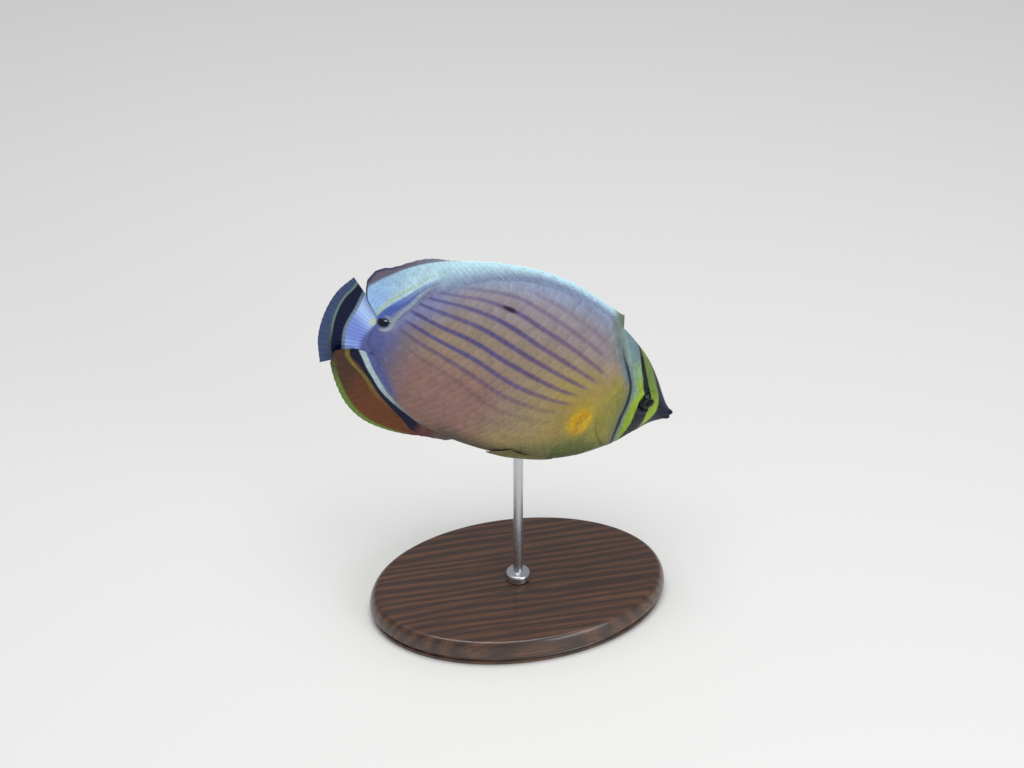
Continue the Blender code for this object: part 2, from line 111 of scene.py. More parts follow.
forward = Vector((
    -math.sin(CAMERA_AZIMUTH) * math.cos(CAMERA_ELEVATION),
    math.cos(CAMERA_AZIMUTH) * math.cos(CAMERA_ELEVATION),
    -math.sin(CAMERA_ELEVATION),
))
right = Vector((math.cos(CAMERA_AZIMUTH), math.sin(CAMERA_AZIMUTH), 0.0))
camera = bpy.data.objects.new("camera", bpy.data.cameras.new("camera"))
camera.data.lens = CAMERA_LENS
camera.data.clip_start = 0.01
turned = Matrix((right, right.cross(forward), -forward)).transposed().to_4x4()
camera.matrix_world = Matrix.Translation(VIEW_MIDDLE - forward * CAMERA_DISTANCE) @ turned
scene.collection.objects.link(camera)
scene.camera = camera
print("camera at", tuple(round(x, 4) for x in camera.location))

# %% [markdown]
# ## Light
# A museum photographs such a model in a tent of soft light. A pale world gives the even part. A
# large lamp over the fish's back lights the sheen along it, which is also painted into the back's
# colour, and a weaker one from the camera's side fills the shaded flank. The standard view shows a
# paint as it was mixed, without a film's soft shoulder, which would wash out the black bars.

# %% Lamps
KEY_POWER = 5.5
FILL_POWER = 3.0
WORLD_STRENGTH = 0.42


def area_lamp(name, place, size, power, colour):
    """A square lamp that looks at the middle of the fish."""
    lamp = bpy.data.lights.new(name, "AREA")
    lamp.size = size
    lamp.energy = power
    lamp.color = colour
    made = bpy.data.objects.new(name, lamp)
    made.location = place
    made.rotation_euler = (VIEW_MIDDLE - Vector(place)).to_track_quat("-Z", "Y").to_euler()
    scene.collection.objects.link(made)


area_lamp("key_lamp", (-0.05, -0.10, 0.85), 0.60, KEY_POWER, (1.0, 0.99, 0.97))
area_lamp("fill_lamp", (0.45, -0.75, 0.35), 0.50, FILL_POWER, (0.95, 0.98, 1.0))

world = bpy.data.worlds.new("soft_world")
world.use_nodes = True
world.node_tree.nodes["Background"].inputs["Color"].default_value = (0.93, 0.95, 1.0, 1.0)
world.node_tree.nodes["Background"].inputs["Strength"].default_value = WORLD_STRENGTH
scene.world = world
scene.view_settings.view_transform = "Standard"

# %% [markdown]
# ## The shape of the fish
# The outline of the back, the outline of the belly and the half width of the body are smooth
# curves through a few points. They are the curves of the solids, so the skin fits them without any
# measuring.

# %% Sizes and outlines
STANDARD_LENGTH = 0.105
PITCH_DOWN = math.radians(24.0)
HEAD_TURN = math.radians(6.0)
TAIL_TURN = math.radians(5.0)
BEND_MIDDLE = 0.42
TAIL_END = 1.18
ROD_HEIGHT = 0.060
ROD_PLACE = 0.42

BACK = [
    (0.0, 0.012), (0.03, 0.034), (0.06, 0.066), (0.10, 0.112), (0.16, 0.172), (0.24, 0.230),
    (0.33, 0.279), (0.45, 0.320), (0.58, 0.337), (0.70, 0.328), (0.80, 0.294), (0.87, 0.250),
    (0.915, 0.208), (0.945, 0.162), (0.965, 0.120), (0.985, 0.090), (1.03, 0.078),
]
BELLY = [
    (0.0, -0.012), (0.03, -0.024), (0.06, -0.041), (0.10, -0.076), (0.14, -0.122),
    (0.21, -0.181), (0.32, -0.237), (0.45, -0.258), (0.58, -0.258), (0.68, -0.247),
    (0.78, -0.222), (0.86, -0.182), (0.92, -0.136), (0.955, -0.099), (0.98, -0.062),
    (1.0, -0.037), (1.03, -0.022),
]
HALF_WIDTH = [
    (0.0, 0.010), (0.03, 0.020), (0.06, 0.028), (0.10, 0.042), (0.16, 0.062), (0.24, 0.080),
    (0.33, 0.090), (0.45, 0.092), (0.58, 0.085), (0.70, 0.071), (0.80, 0.055), (0.88, 0.040),
    (0.94, 0.029), (1.0, 0.019), (1.03, 0.015),
]
HEAD_EDGE = [
    (-1.0, 0.170), (-0.6, 0.225), (-0.2, 0.284), (0.1, 0.291), (0.45, 0.264), (1.0, 0.262),
]


def through(points, column=1):
    """Returns a smooth curve through points, whose first number is the place."""
    places = np.array([point[0] for point in points], float)
    values = np.array([point[column] for point in points], float)
    slopes = np.gradient(values, places)

    def read(place):
        place = np.clip(np.asarray(place, float), places[0], places[-1])
        i = np.clip(np.searchsorted(places, place) - 1, 0, len(places) - 2)
        span = places[i + 1] - places[i]
        t = (place - places[i]) / span
        rise = 3 * t**2 - 2 * t**3
        start = (t**3 - 2 * t**2 + t) * span * slopes[i]
        end = (t**3 - t**2) * span * slopes[i + 1]
        return values[i] * (1 - rise) + values[i + 1] * rise + start + end

    return read


def ramp(value, low, high):
    """Goes smoothly from 0 at low to 1 at high."""
    t = np.clip((np.asarray(value, float) - low) / (high - low), 0.0, 1.0)
    return t * t * (3 - 2 * t)


def between(start, end, share):
    """Goes evenly from start, where the share is 0, to end, where it is 1."""
    return start + (end - start) * share


def near(value, middle, spread):
    """A soft bump of height 1 about a middle value."""
    return np.exp(-(((value - middle) / spread) ** 2))


back_height = through(BACK)
belly_height = through(BELLY)
half_width = through(HALF_WIDTH)
head_edge = through(HEAD_EDGE)
deepest = float(back_height(0.55) - belly_height(0.55)) * STANDARD_LENGTH
print("depth of the body:", round(deepest, 4), "m")

# %% [markdown]
# ## From straight to swimming
# A swimming fish is never quite straight. Its head and its tail turn a little to the same side, so
# the middle line is two arcs that meet behind the gills. The bent fish is then pitched nose down
# and set on the top of its rod.

# %% Pose
def swim(points):
    """Bends straight points, pitches them nose down and sets them on the rod."""
    x, y, z = np.asarray(points, float).T
    back = -x - BEND_MIDDLE * STANDARD_LENGTH
    tail_radius = (TAIL_END - BEND_MIDDLE) * STANDARD_LENGTH / TAIL_TURN
    head_radius = BEND_MIDDLE * STANDARD_LENGTH / HEAD_TURN
    radius = np.where(back > 0, tail_radius, head_radius)
    inner = radius - y
    bent_x = -inner * np.sin(back / radius)
    bent_y = radius - inner * np.cos(back / radius)
    high = z - float(belly_height(ROD_PLACE)) * STANDARD_LENGTH
    cosine, sine = math.cos(PITCH_DOWN), math.sin(PITCH_DOWN)
    return np.stack([
        bent_x * cosine + high * sine, bent_y, high * cosine - bent_x * sine + ROD_HEIGHT,
    ], axis=-1)


print("snout tip at", swim([[0.0, 0.0, 0.0]])[0].round(4))

# %% [markdown]
# ## Moving many points at once
# Blender's operators make the meshes, and numpy moves their points, because a loop over fifty
# thousand vertices would be slow. A UV map can hold any two numbers for each corner of a face. Here
# one holds s and h, so that the colours know where they are on the fish whatever its pose.

# %% Mesh helpers
def object_from(name, shape):
    """Turns a bmesh into an object in the scene."""
    mesh = bpy.data.meshes.new(name)
    shape.to_mesh(mesh)
    shape.free()
    made = bpy.data.objects.new(name, mesh)
    scene.collection.objects.link(made)
    return made


def points_of(mesh):
    """The places of a mesh's vertices, one row each."""
    flat = np.zeros(len(mesh.vertices) * 3)
    mesh.vertices.foreach_get("co", flat)
    return flat.reshape(-1, 3)


def move_points(mesh, points):
    """Puts a mesh's vertices in new places."""
    mesh.vertices.foreach_set("co", np.asarray(points, float).ravel())
    mesh.update()


def write_map(mesh, name, pairs):
    """Writes two numbers for each vertex into a UV map."""
    layer = mesh.uv_layers.get(name) or mesh.uv_layers.new(name=name)
    corners = np.zeros(len(mesh.loops), int)
    mesh.loops.foreach_get("vertex_index", corners)
    layer.data.foreach_set("uv", np.asarray(pairs, float)[corners].ravel())


def place_of(points):
    """Shares s and h of straight points."""
    return np.stack([-points[:, 0], points[:, 2]], axis=-1) / STANDARD_LENGTH


def straight(s, y, h):
    """Straight points, in metres, from the shares s and h and the distance y to the left."""
    return np.stack([-s * STANDARD_LENGTH, y, h * STANDARD_LENGTH], axis=-1)


def rework(mesh, change):
    """Opens a mesh as a bmesh, changes it and writes it back."""
    shape = bmesh.new()
    shape.from_mesh(mesh)
    change(shape)
    shape.to_mesh(mesh)
    shape.free()


def grid(columns, rows):
    """A flat grid with u and v from 0 to 1."""
    shape = bmesh.new()
    bmesh.ops.create_grid(
        shape, x_segments=columns, y_segments=rows, size=0.5,
        matrix=Matrix.Translation((0.5, 0.5, 0.0)),
    )
    return shape


def spin_round(shape, steps):
    """Spins the line in a bmesh a full turn about the upright axis and closes the shape."""
    bmesh.ops.spin(
        shape, geom=shape.verts[:] + shape.edges[:], axis=(0, 0, 1), cent=(0, 0, 0), steps=steps,
        angle=math.tau, use_merge=True,
    )
    bmesh.ops.remove_doubles(shape, verts=shape.verts[:], dist=1e-6)
    bmesh.ops.recalc_face_normals(shape, faces=shape.faces[:])


def finish_shape(target, sharp=50.0):
    """Poses a straight piece, makes its faces point out and shades it smooth."""
    mesh = target.data
    write_map(mesh, "Place", place_of(points_of(mesh)))
    move_points(mesh, swim(points_of(mesh)))
    mesh.shade_smooth()
    mesh.set_sharp_from_angle(angle=math.radians(sharp))
    print(target.name, "has", sum(len(face.vertices) - 2 for face in mesh.polygons), "triangles")
    return target


# %% [markdown]
# ## The surface of the body
# A section through the fish is a narrow oval, drawn out towards the back and the belly. The turn t
# goes round it, from the belly up the left side, over the back and down the right side. The snout
# closes in a round end, and the tail stalk in a thin edge that the rays of the tail hide.

# %% Body surface
SECTION_FRONT = 0.60
SECTION_REAR = 0.88
SECTION_POWER = 2.2
NOSE_ROUND = 0.012
STALK_ROUND = (1.0, 1.03)


def level_of(s, h):
    """The level, from -1 at the belly to 1 at the back, of the height h."""
    top, bottom = back_height(s), belly_height(s)
    return (h - (top + bottom) / 2) / ((top - bottom) / 2)


def turn_of(s, h, side):
    """The turn t about the section of the height h on the left, 1, or the right, -1."""
    rise = np.arcsin(np.clip(level_of(s, h), -0.9999, 0.9999))
    return np.where(np.asarray(side) > 0, rise, math.pi - rise)


def body(s, t):
    """Straight points of the body, in metres, at s and at the turn t."""
    s = np.clip(s, 0.0, STALK_ROUND[1])
    level = np.sin(t)
    top, bottom = back_height(s), belly_height(s)
    nose = np.sqrt(1 - np.clip(1 - s / NOSE_ROUND, 0.0, 1.0) ** 2)
    tail = np.clip((s - STALK_ROUND[0]) / (STALK_ROUND[1] - STALK_ROUND[0]), 0.0, 1.0)
    height = (top + bottom) / 2 + level * (top - bottom) / 2 * nose * (1 - 0.25 * tail**2)
    drawn = between(SECTION_FRONT, SECTION_REAR, ramp(s, 0.55, 0.92))
    wide = half_width(s) * (1 - np.abs(level) ** SECTION_POWER) ** drawn
    wide = wide * nose * np.sqrt(1 - tail**2) * np.sign(np.cos(t))
    return np.stack([-s, wide, height], axis=-1) * STANDARD_LENGTH


def body_out(s, t):
    """The direction straight out of the body at s and t."""
    step = 0.001
    along = body(s + step, t) - body(s - step, t)
    around = body(s, t + step) - body(s, t - step)
    out = np.cross(around, along)
    out /= np.maximum(np.linalg.norm(out, axis=-1, keepdims=True), 1e-12)
    from_middle = body(s, t) - straight(s, s * 0.0, (back_height(s) + belly_height(s)) / 2)
    facing = np.sign((out * from_middle).sum(axis=-1, keepdims=True))
    return out * np.where(facing == 0, 1.0, facing)


print("width at s 0.45:", round(float(body(np.array(0.45), np.array(0.0))[1]) * 2, 4), "m")

# %% [markdown]
# ## Relief of the head
# The head isn't smooth. The gill cover is a plate with a free rear edge, a second fold runs in
# front of it round the cheek, and the eye looks out of a raised rim. Behind the gill slit the side
# fin grows from a small fleshy lobe. Each is a bump of so many tenths of a millimetre along the
# surface's own direction, so that the fine grid of the skin carries it.

# %% Relief
EYE_PLACE = (0.136, 0.060)
EYE_RADIUS = 0.0039
COVER_RAISE = 0.00050
CHEEK_RAISE = 0.00028
RIM_RAISE = 0.00052
SLIT_DEPTH = 0.00012
SOCKET_DEPTH = 0.00060
LOBE_RAISE = 0.00055
LOBE_PLACE = (0.318, -0.041)


def relief(s, t):
    """How far, in metres, the skin stands out from the plain body at s and t."""
    place = place_of(body(s, t).reshape(-1, 3)).reshape(*np.shape(s), 2)
    h = place[..., 1]
    level = np.sin(t)
    edge = head_edge(level)
    inside = ramp(1 - np.abs(level), 0.06, 0.35)
    cover = COVER_RAISE * ramp(s, edge - 0.055, edge - 0.010)
    cover = cover * (1 - ramp(s, edge - 0.006, edge + 0.002))
    slit = -SLIT_DEPTH * near(s, edge + 0.003, 0.003)
    cheek = CHEEK_RAISE * near(s, edge - 0.085 + 0.02 * level, 0.007)
    cheek += CHEEK_RAISE * 0.5 * near(s, edge - 0.110, 0.010)
    away = np.hypot(s - EYE_PLACE[0], h - EYE_PLACE[1]) * STANDARD_LENGTH
    rim = RIM_RAISE * near(away, EYE_RADIUS * 1.02, 0.0007)
    socket = -SOCKET_DEPTH * (1 - ramp(away, EYE_RADIUS * 0.66, EYE_RADIUS * 0.92))
    lobe = LOBE_RAISE * np.exp(
        -(((s - LOBE_PLACE[0]) / 0.014) ** 2) - (((h - LOBE_PLACE[1]) / 0.038) ** 2)
    )
    return inside * (cover + slit + cheek + rim + socket + lobe)


print("gill cover raised by", COVER_RAISE, "m")

# %% [markdown]
# ## The skin
# The skin is one grid rolled into a tube. Half of its columns lie in the head, where the
# detail is. It lies a tenth of a millimetre inside the solids, which is the depth of the scales.
# The lips and the rims of the nostrils are joined to it by a Boolean modifier, and another cuts the
# line of the mouth and the nostrils. That is how a sculptor adds small wads of clay and cuts them.

# %% Skin grid
SKIN_DEPTH = 0.00010
SKIN_COLUMNS = 230
SKIN_ROWS = 250
COLUMN_SHARES = (0.0, 0.05, 0.52, 0.95, 1.0)
COLUMN_PLACES = (0.0, NOSE_ROUND, 0.30, 0.995, STALK_ROUND[1])


def skin_surface(s, t):
    """Points of the skin, with its relief."""
    return body(s, t) + body_out(s, t) * (relief(s, t) - SKIN_DEPTH)[..., None]


def roll_skin():
    """The bare skin as one closed tube."""
    skin = object_from("skin", grid(SKIN_COLUMNS, SKIN_ROWS))
    u, v, _ = points_of(skin.data).T
    s = np.interp(u, COLUMN_SHARES, COLUMN_PLACES)
    s = np.where(u < COLUMN_SHARES[1], NOSE_ROUND * (u / COLUMN_SHARES[1]) ** 2, s)
    points = skin_surface(s, -math.pi / 2 + math.tau * v)
    tip = u < 1e-6
    points[tip] = points[tip].mean(axis=0)
    points[u > 1 - 1e-6, 1] = 0.0
    move_points(skin.data, points)

    def close_tube(shape):
        """Welds the seam of the tube and its two ends."""
        bmesh.ops.remove_doubles(shape, verts=shape.verts[:], dist=2e-6)
        bmesh.ops.dissolve_degenerate(shape, edges=shape.edges[:], dist=1e-7)
        bmesh.ops.recalc_face_normals(shape, faces=shape.faces[:])
        open_edges = [edge for edge in shape.edges if len(edge.link_faces) != 2]
        print("skin rolled, open edges:", len(open_edges))

    rework(skin.data, close_tube)
    return skin


skin = roll_skin()

# %% [markdown]
# ## Lips, mouth and nostrils
# The mouth of a butterflyfish is a small snipping beak with full lips. Each lip is a squashed ball
# across the tip of the snout. Two nostrils lie in front of each eye, each a pit in a low rim, which
# is a ring made by spinning a small circle.

# %% Mouth and nostrils
LIPS = [
    (0.0198, 0.0093, (0.0027, 0.0018, 0.00084)),
    (0.0218, -0.0080, (0.0026, 0.0017, 0.00080)),
]
MOUTH_PLACE = (0.010, 0.0005)
MOUTH_SIZE = (0.0058, 0.012, 0.00030)
MOUTH_TILT = math.radians(-8.0)
NOSTRILS = [(0.068, 0.036), (0.079, 0.048)]
NOSTRIL_RADIUS = 0.00034
NOSTRIL_RIM = 0.00022
NOSTRIL_SINK = 0.00008


def ball(name, centre, radii, segments=24, rings=16):
    """A smooth ellipsoid as an object."""
    shape = bmesh.new()
    bmesh.ops.create_uvsphere(
        shape, u_segments=segments, v_segments=rings, radius=1.0,
        matrix=Matrix.Translation(centre) @ Matrix.Diagonal((*radii, 1.0)),
    )
    return object_from(name, shape)


def ring(name, centre, out, radius, thick):
    """A round ring that lies square to the direction out."""
    shape = bmesh.new()
    bmesh.ops.create_circle(
        shape, segments=8, radius=thick,
        matrix=Matrix.Translation((radius, 0.0, 0.0)) @ Matrix.Rotation(math.radians(90), 4, "X"),
    )
    spin_round(shape, 20)
    lay = Vector(out).to_track_quat("Z", "Y").to_matrix().to_4x4()
    bmesh.ops.transform(shape, matrix=Matrix.Translation(centre) @ lay, verts=shape.verts[:])
    return object_from(name, shape)


def combine(target, pieces, operation):
    """Joins pieces to the target, or cuts them from it, and removes them."""
    group = bpy.data.collections.new("pieces")
    for piece in pieces:
        group.objects.link(piece)
    step = target.modifiers.new(operation.lower(), "BOOLEAN")
    step.operation = operation
    step.solver = "EXACT"
    step.operand_type = "COLLECTION"
    step.collection = group
    graph = bpy.context.evaluated_depsgraph_get()
    joined = bpy.data.meshes.new_from_object(target.evaluated_get(graph))
    target.modifiers.clear()
    target.data = joined
    for piece in pieces:
        bpy.data.objects.remove(piece)
    bpy.data.collections.remove(group)


def add_mouth_and_nostrils(skin):
    """Lips and rims joined to the skin, and the mouth's line and the pits cut from it."""
    added = [ball("lip", Vector(straight(s, 0.0, h)), radii) for s, h, radii in LIPS]
    cuts = []
    for side in (-1, 1):
        for s, h in NOSTRILS:
            t = turn_of(np.array([s]), np.array([h]), side)
            centre = Vector(body(np.array([s]), t)[0])
            out = Vector(body_out(np.array([s]), t)[0])
            sunk = centre - out * NOSTRIL_SINK
            added.append(ring("rim", sunk, out, NOSTRIL_RADIUS, NOSTRIL_RIM))
            cuts.append(ball("pit", centre, (NOSTRIL_RADIUS * 0.8,) * 3, 12, 8))
    combine(skin, added, "UNION")
    slit = bmesh.new()
    line = Matrix.Translation(Vector(straight(MOUTH_PLACE[0], 0.0, MOUTH_PLACE[1])))
    line = line @ Matrix.Rotation(MOUTH_TILT, 4, "Y") @ Matrix.Diagonal((*MOUTH_SIZE, 1.0))
    bmesh.ops.create_cube(slit, size=1.0, matrix=line)
    combine(skin, [object_from("slit", slit)] + cuts, "DIFFERENCE")


def soften_joins(skin):
    """Smooths the skin round the lips, where the balls met it in a crease."""
    line = MOUTH_PLACE[1] * STANDARD_LENGTH

    def soften(shape):
        """Smooths the tip of the snout but for a narrow strip along the mouth."""
        kept = [
            vertex for vertex in shape.verts
            if -0.006 < -vertex.co.x / STANDARD_LENGTH < 0.050 and abs(vertex.co.z - line) > 0.0005
        ]
        for _ in range(6):
            bmesh.ops.smooth_vert(
                shape, verts=kept, factor=0.4, use_axis_x=True, use_axis_y=True, use_axis_z=True
            )

    rework(skin.data, soften)


add_mouth_and_nostrils(skin)
soften_joins(skin)
print("skin with mouth:", len(skin.data.vertices), "vertices")

# %% [markdown]
# ## The lines of the flank
# Each violet line of the flank runs along a row of scales, and they fan out from the side fin. The
# lines are traced as a few points each. Between them a row number is worked out: it is a whole
# number on a line and a half between two lines. Scales are set at every half, and the colours read
# the same number from a UV map, so lines and scales always agree.

# %% Rows of the flank
LINES = [
    [(0.374, -0.089), (0.430, -0.112), (0.524, -0.121), (0.627, -0.109), (0.704, -0.079),
     (0.779, -0.052), (0.852, -0.027), (0.96, 0.010)],
    [(0.392, -0.052), (0.451, -0.068), (0.514, -0.074), (0.581, -0.071), (0.653, -0.051),
     (0.729, -0.022), (0.801, 0.000), (0.868, 0.013), (0.941, 0.040)],
    [(0.362, -0.009), (0.407, -0.020), (0.469, -0.028), (0.537, -0.023), (0.606, -0.014),
     (0.680, 0.010), (0.751, 0.030), (0.820, 0.047), (0.887, 0.060), (0.957, 0.082)],
    [(0.359, 0.020), (0.423, 0.014), (0.490, 0.018), (0.559, 0.026), (0.630, 0.043),
     (0.703, 0.066), (0.771, 0.080), (0.837, 0.089), (0.932, 0.107)],
    [(0.372, 0.049), (0.441, 0.055), (0.513, 0.069), (0.584, 0.085), (0.655, 0.101),
     (0.725, 0.120), (0.791, 0.130), (0.853, 0.133), (0.918, 0.141)],
    [(0.346, 0.075), (0.388, 0.085), (0.462, 0.102), (0.535, 0.121), (0.607, 0.140),
     (0.678, 0.159), (0.745, 0.172), (0.808, 0.174), (0.928, 0.172)],
    [(0.326, 0.100), (0.407, 0.129), (0.483, 0.153), (0.557, 0.174), (0.629, 0.196),
     (0.698, 0.211), (0.761, 0.215), (0.822, 0.212), (0.879, 0.203), (0.937, 0.194)],
    [(0.311, 0.130), (0.346, 0.146), (0.429, 0.182), (0.505, 0.209), (0.578, 0.229),
     (0.649, 0.248), (0.713, 0.253), (0.774, 0.250), (0.830, 0.237), (0.886, 0.224)],
    [(0.315, 0.168), (0.367, 0.200), (0.448, 0.232), (0.524, 0.259), (0.596, 0.278),
     (0.664, 0.290), (0.724, 0.285), (0.782, 0.273), (0.837, 0.258), (0.900, 0.240)],
    [(0.315, 0.210), (0.384, 0.244), (0.463, 0.275), (0.537, 0.298), (0.607, 0.311),
     (0.671, 0.316), (0.735, 0.310), (0.790, 0.296), (0.840, 0.280), (0.900, 0.262)],
]
OUTER_SPACING = 0.040
FRONT_ENDS = (0.374, 0.392, 0.374, 0.370, 0.372, 0.345, 0.326, 0.311, 0.330, 0.340)
REAR_ENDS = (0.700, 0.935, 0.966, 0.958, 0.962, 0.964, 0.958, 0.936, 0.860, 0.660)
LINE_STRENGTH = (0.18, 0.38, 0.66, 0.90, 1.0, 1.0, 1.0, 0.95, 0.62, 0.38)
line_curves = [through(points) for points in LINES]


def row_number(s, h):
    """Counts the lines of the flank from the lowest, 0, up to the height h."""
    heights = [curve(s) for curve in line_curves]
    row = np.minimum(h - heights[0], 0.0) / OUTER_SPACING
    for low, high in zip(heights, heights[1:]):
        row = row + np.clip((h - low) / (high - low), 0.0, 1.0)
    return row + np.maximum(h - heights[-1], 0.0) / OUTER_SPACING


def row_height(s, row):
    """The height h of a row number at s."""
    heights = np.stack([curve(s) for curve in line_curves])
    last = len(LINES) - 1
    low = np.clip(np.floor(row), 0, last - 1).astype(int)
    share = np.clip(row - low, 0.0, 1.0)
    pick = np.arange(len(low))
    h = heights[low, pick] * (1 - share) + heights[low + 1, pick] * share
    return h + (np.minimum(row, 0.0) + np.maximum(row - last, 0.0)) * OUTER_SPACING


def line_fade(s, row):
    """How strong the lines are at s, from 0 past their ends to 1."""
    numbers = np.arange(len(LINES))
    start = np.interp(row, numbers, FRONT_ENDS)
    end = np.interp(row, numbers, REAR_ENDS)
    strength = np.interp(row, [-0.9, *numbers, len(LINES) - 0.1], [0.0, *LINE_STRENGTH, 0.25])
    front = 1 - 0.20 * (1 - ramp(s, 0.36, 0.60))
    front = front * (1 - 0.55 * (1 - ramp(row, 1.5, 3.5)) * (1 - ramp(s, 0.44, 0.58)))
    upper_rear = 1 - (0.22 + 0.30 * ramp(row, 6.4, 7.2)) * ramp(row, 3.5, 4.5) * ramp(s, 0.64, 0.82)
    within = ramp(s, start - 0.012, start + 0.05) * (1 - ramp(s, end - 0.040, end + 0.014))
    return strength * front * upper_rear * within


def write_rows(mesh, place):
    """Writes the row number and the strength of the lines for the colours to read."""
    row = row_number(place[:, 0], place[:, 1])
    write_map(mesh, "Rows", np.stack([row, line_fade(place[:, 0], row)], axis=-1))


write_rows(skin.data, place_of(points_of(skin.data)))
finish_shape(skin, 60.0)
print("lines of the flank:", len(LINES))

# %% [markdown]
# ## One scale
# A scale is a thin plate, rounded at its free rear edge, which lies over the next one like a roof
# tile. Its front end is sunk in the skin. One small tile is modelled from a grid: x runs from the
# root to the free edge, y across it and z up. The rim is extruded down so that it is a solid plate.

# %% Scale tile
TILE_SIDE = 0.60
TILE_NECK = 0.72


def scale_tile(columns, rows):
    """One scale with x from 0 to 1, y from -1 to 1 and z from -1, under it, to 1 on its crown."""
    shape = grid(columns, rows)
    rim = [edge for edge in shape.edges if edge.is_boundary]
    grown = bmesh.ops.extrude_edge_only(shape, edges=rim)
    lower = [item for item in grown["geom"] if isinstance(item, bmesh.types.BMVert)]
    for vertex in lower:
        vertex.co.z = -1.0
    for vertex in shape.verts:
        across = 2 * vertex.co.y - 1
        reach = between(TILE_SIDE, 1.0, math.sqrt(max(1 - across * across, 0.0)))
        waist = between(TILE_NECK, 1.0, math.sin(math.pi * min(vertex.co.x / 0.75, 1.0) / 2))
        if vertex.co.z > -0.5:
            vertex.co.z = 1.0 - across * across
        vertex.co.y = across * waist
        vertex.co.x = vertex.co.x * reach
    bmesh.ops.recalc_face_normals(shape, faces=shape.faces[:])
    mesh = bpy.data.meshes.new("scale_tile")
    shape.to_mesh(mesh)
    shape.free()
    return mesh


tile = scale_tile(4, 6)
print("one scale has", sum(len(face.vertices) - 2 for face in tile.polygons), "triangles")

# %% [markdown]
# ## Laying the coat
# An Array modifier repeats the tile as often as there are roots. Then every copy is moved to its
# root at once: its own x goes along the row and its y across it, measured in the plane that touches
# the skin there, and its z along the skin's direction out. A second UV map, for the baking of
# colours, gives each scale a small patch at its root's place on an unwrap of the skin.

# %% Coat
PATCH = 0.003
SCALE_LIFT = 0.00012
SCALE_SINK = 0.00006
SCALE_CROWN = 0.00002
SCALE_THICK = 0.00016
random_draw = np.random.default_rng(7)


def repeated(template, count):
    """The mesh of many copies of a template, one after another."""
    holder = bpy.data.objects.new("holder", template)
    scene.collection.objects.link(holder)
    array = holder.modifiers.new("copies", "ARRAY")
    array.count = count
    array.use_relative_offset = False
    graph = bpy.context.evaluated_depsgraph_get()
    mesh = bpy.data.meshes.new_from_object(holder.evaluated_get(graph))
    bpy.data.objects.remove(holder)
    return mesh


def lay_scales(name, surface, out, roots, ahead, sizes, spots):
    """Lays one tile at each root of a surface(p, q), with its x along ahead, (p, q) steps."""
    count = len(roots)
    mesh = repeated(tile, count)
    local = points_of(tile)
    x, y, z = np.tile(local, (count, 1)).T
    copy = np.repeat(np.arange(count), len(local))
    p, q = roots.T
    step = 1e-3
    by_p = (surface(p + step, q) - surface(p - step, q)) / (2 * step)
    by_q = (surface(p, q + step) - surface(p, q - step)) / (2 * step)
    along = by_p * ahead[:, :1] + by_q * ahead[:, 1:]
    along /= np.linalg.norm(along, axis=-1, keepdims=True)
    up = out(p, q)
    across = np.cross(up, along)
    frame_both = np.stack([by_p, by_q], axis=-1)
    inverse = np.linalg.pinv(frame_both)
    step_along = np.einsum("nij,nj->ni", inverse, along)[copy] * (x * sizes[copy, 0])[:, None]
    step_across = np.einsum("nij,nj->ni", inverse, across)[copy] * (y * sizes[copy, 1])[:, None]
    there = roots[copy] + step_along + step_across
    lift = SCALE_LIFT * np.clip(x, 0.0, 1.0) - SCALE_SINK * (1 - np.clip(x, 0.0, 1.0))
    lift = np.where(z < -0.5, lift - SCALE_THICK, lift + SCALE_CROWN * z)
    scale_share = (sizes[copy, 0] / sizes[:, 0].max()) ** 0.5
    points = surface(there[:, 0], there[:, 1])
    points = points + out(there[:, 0], there[:, 1]) * (lift * scale_share)[:, None]
    move_points(mesh, points)
    made = bpy.data.objects.new(name, mesh)
    scene.collection.objects.link(made)
    patch = spots[copy] + np.stack([x - 0.5, y * 0.5], axis=-1) * PATCH
    write_map(mesh, "OFBake", patch)
    write_map(mesh, "Tile", np.stack([x, random_draw.uniform(0.0, 1.0, count)[copy]], axis=-1))
    write_rows(mesh, place_of(points))
    return finish_shape(made, 80.0), there


# %% [markdown]
# ## Rows of scales
# On the flank the rows follow the violet lines, two rows to a line, and every other row is set half
# a scale back, as tiles are. Scales get smaller towards the throat, the back and the tail stalk. A
# seeded draw turns and sizes each a little, because no two scales are quite alike.

# %% Flank scales
SCALE_PITCH = 0.0225
SCALE_WIDTHS = (0.0009, 0.0030)
LONGEST_SCALE = 0.0042
SCALE_TURN = 0.05
ROOT_STEP = 0.01
NEAR_RIDGE = 0.985


def row_starts(first, number, pitch):
    """Where a row of scales starts: every other row is half a scale back."""
    return first + (0.5 if number % 2 else 0.0) * pitch


def roots_of(s, h, ahead, beside, side):
    """Rows of (s, t, step s, step t, width), given the heights at, ahead of and beside each root."""
    t = turn_of(s, h, side)
    step = turn_of(s + ROOT_STEP, ahead, side) - t
    wide = np.linalg.norm(body(s, turn_of(s, beside, side)) - body(s, t), axis=-1)
    return np.stack([s, t, np.full(len(s), ROOT_STEP), step, wide], axis=-1)


def flank_roots(side):
    """Roots of the large scales of one side, two rows to a line of the flank."""
    found = []
    for number, row in enumerate(np.arange(-4.5, 12.0, 0.5)):
        s = np.arange(row_starts(0.16, number, SCALE_PITCH), 1.0, SCALE_PITCH)
        h = row_height(s, np.full(len(s), row))
        ahead = row_height(s + ROOT_STEP, np.full(len(s), row))
        beside = row_height(s, np.full(len(s), row + 0.5))
        level = level_of(s, h)
        behind_gill = s > head_edge(np.clip(level, -1, 1)) + 0.004
        kept = (np.abs(level) < NEAR_RIDGE) & behind_gill
        found.append(roots_of(s, h, ahead, beside, side)[kept])
    return np.concatenate(found)


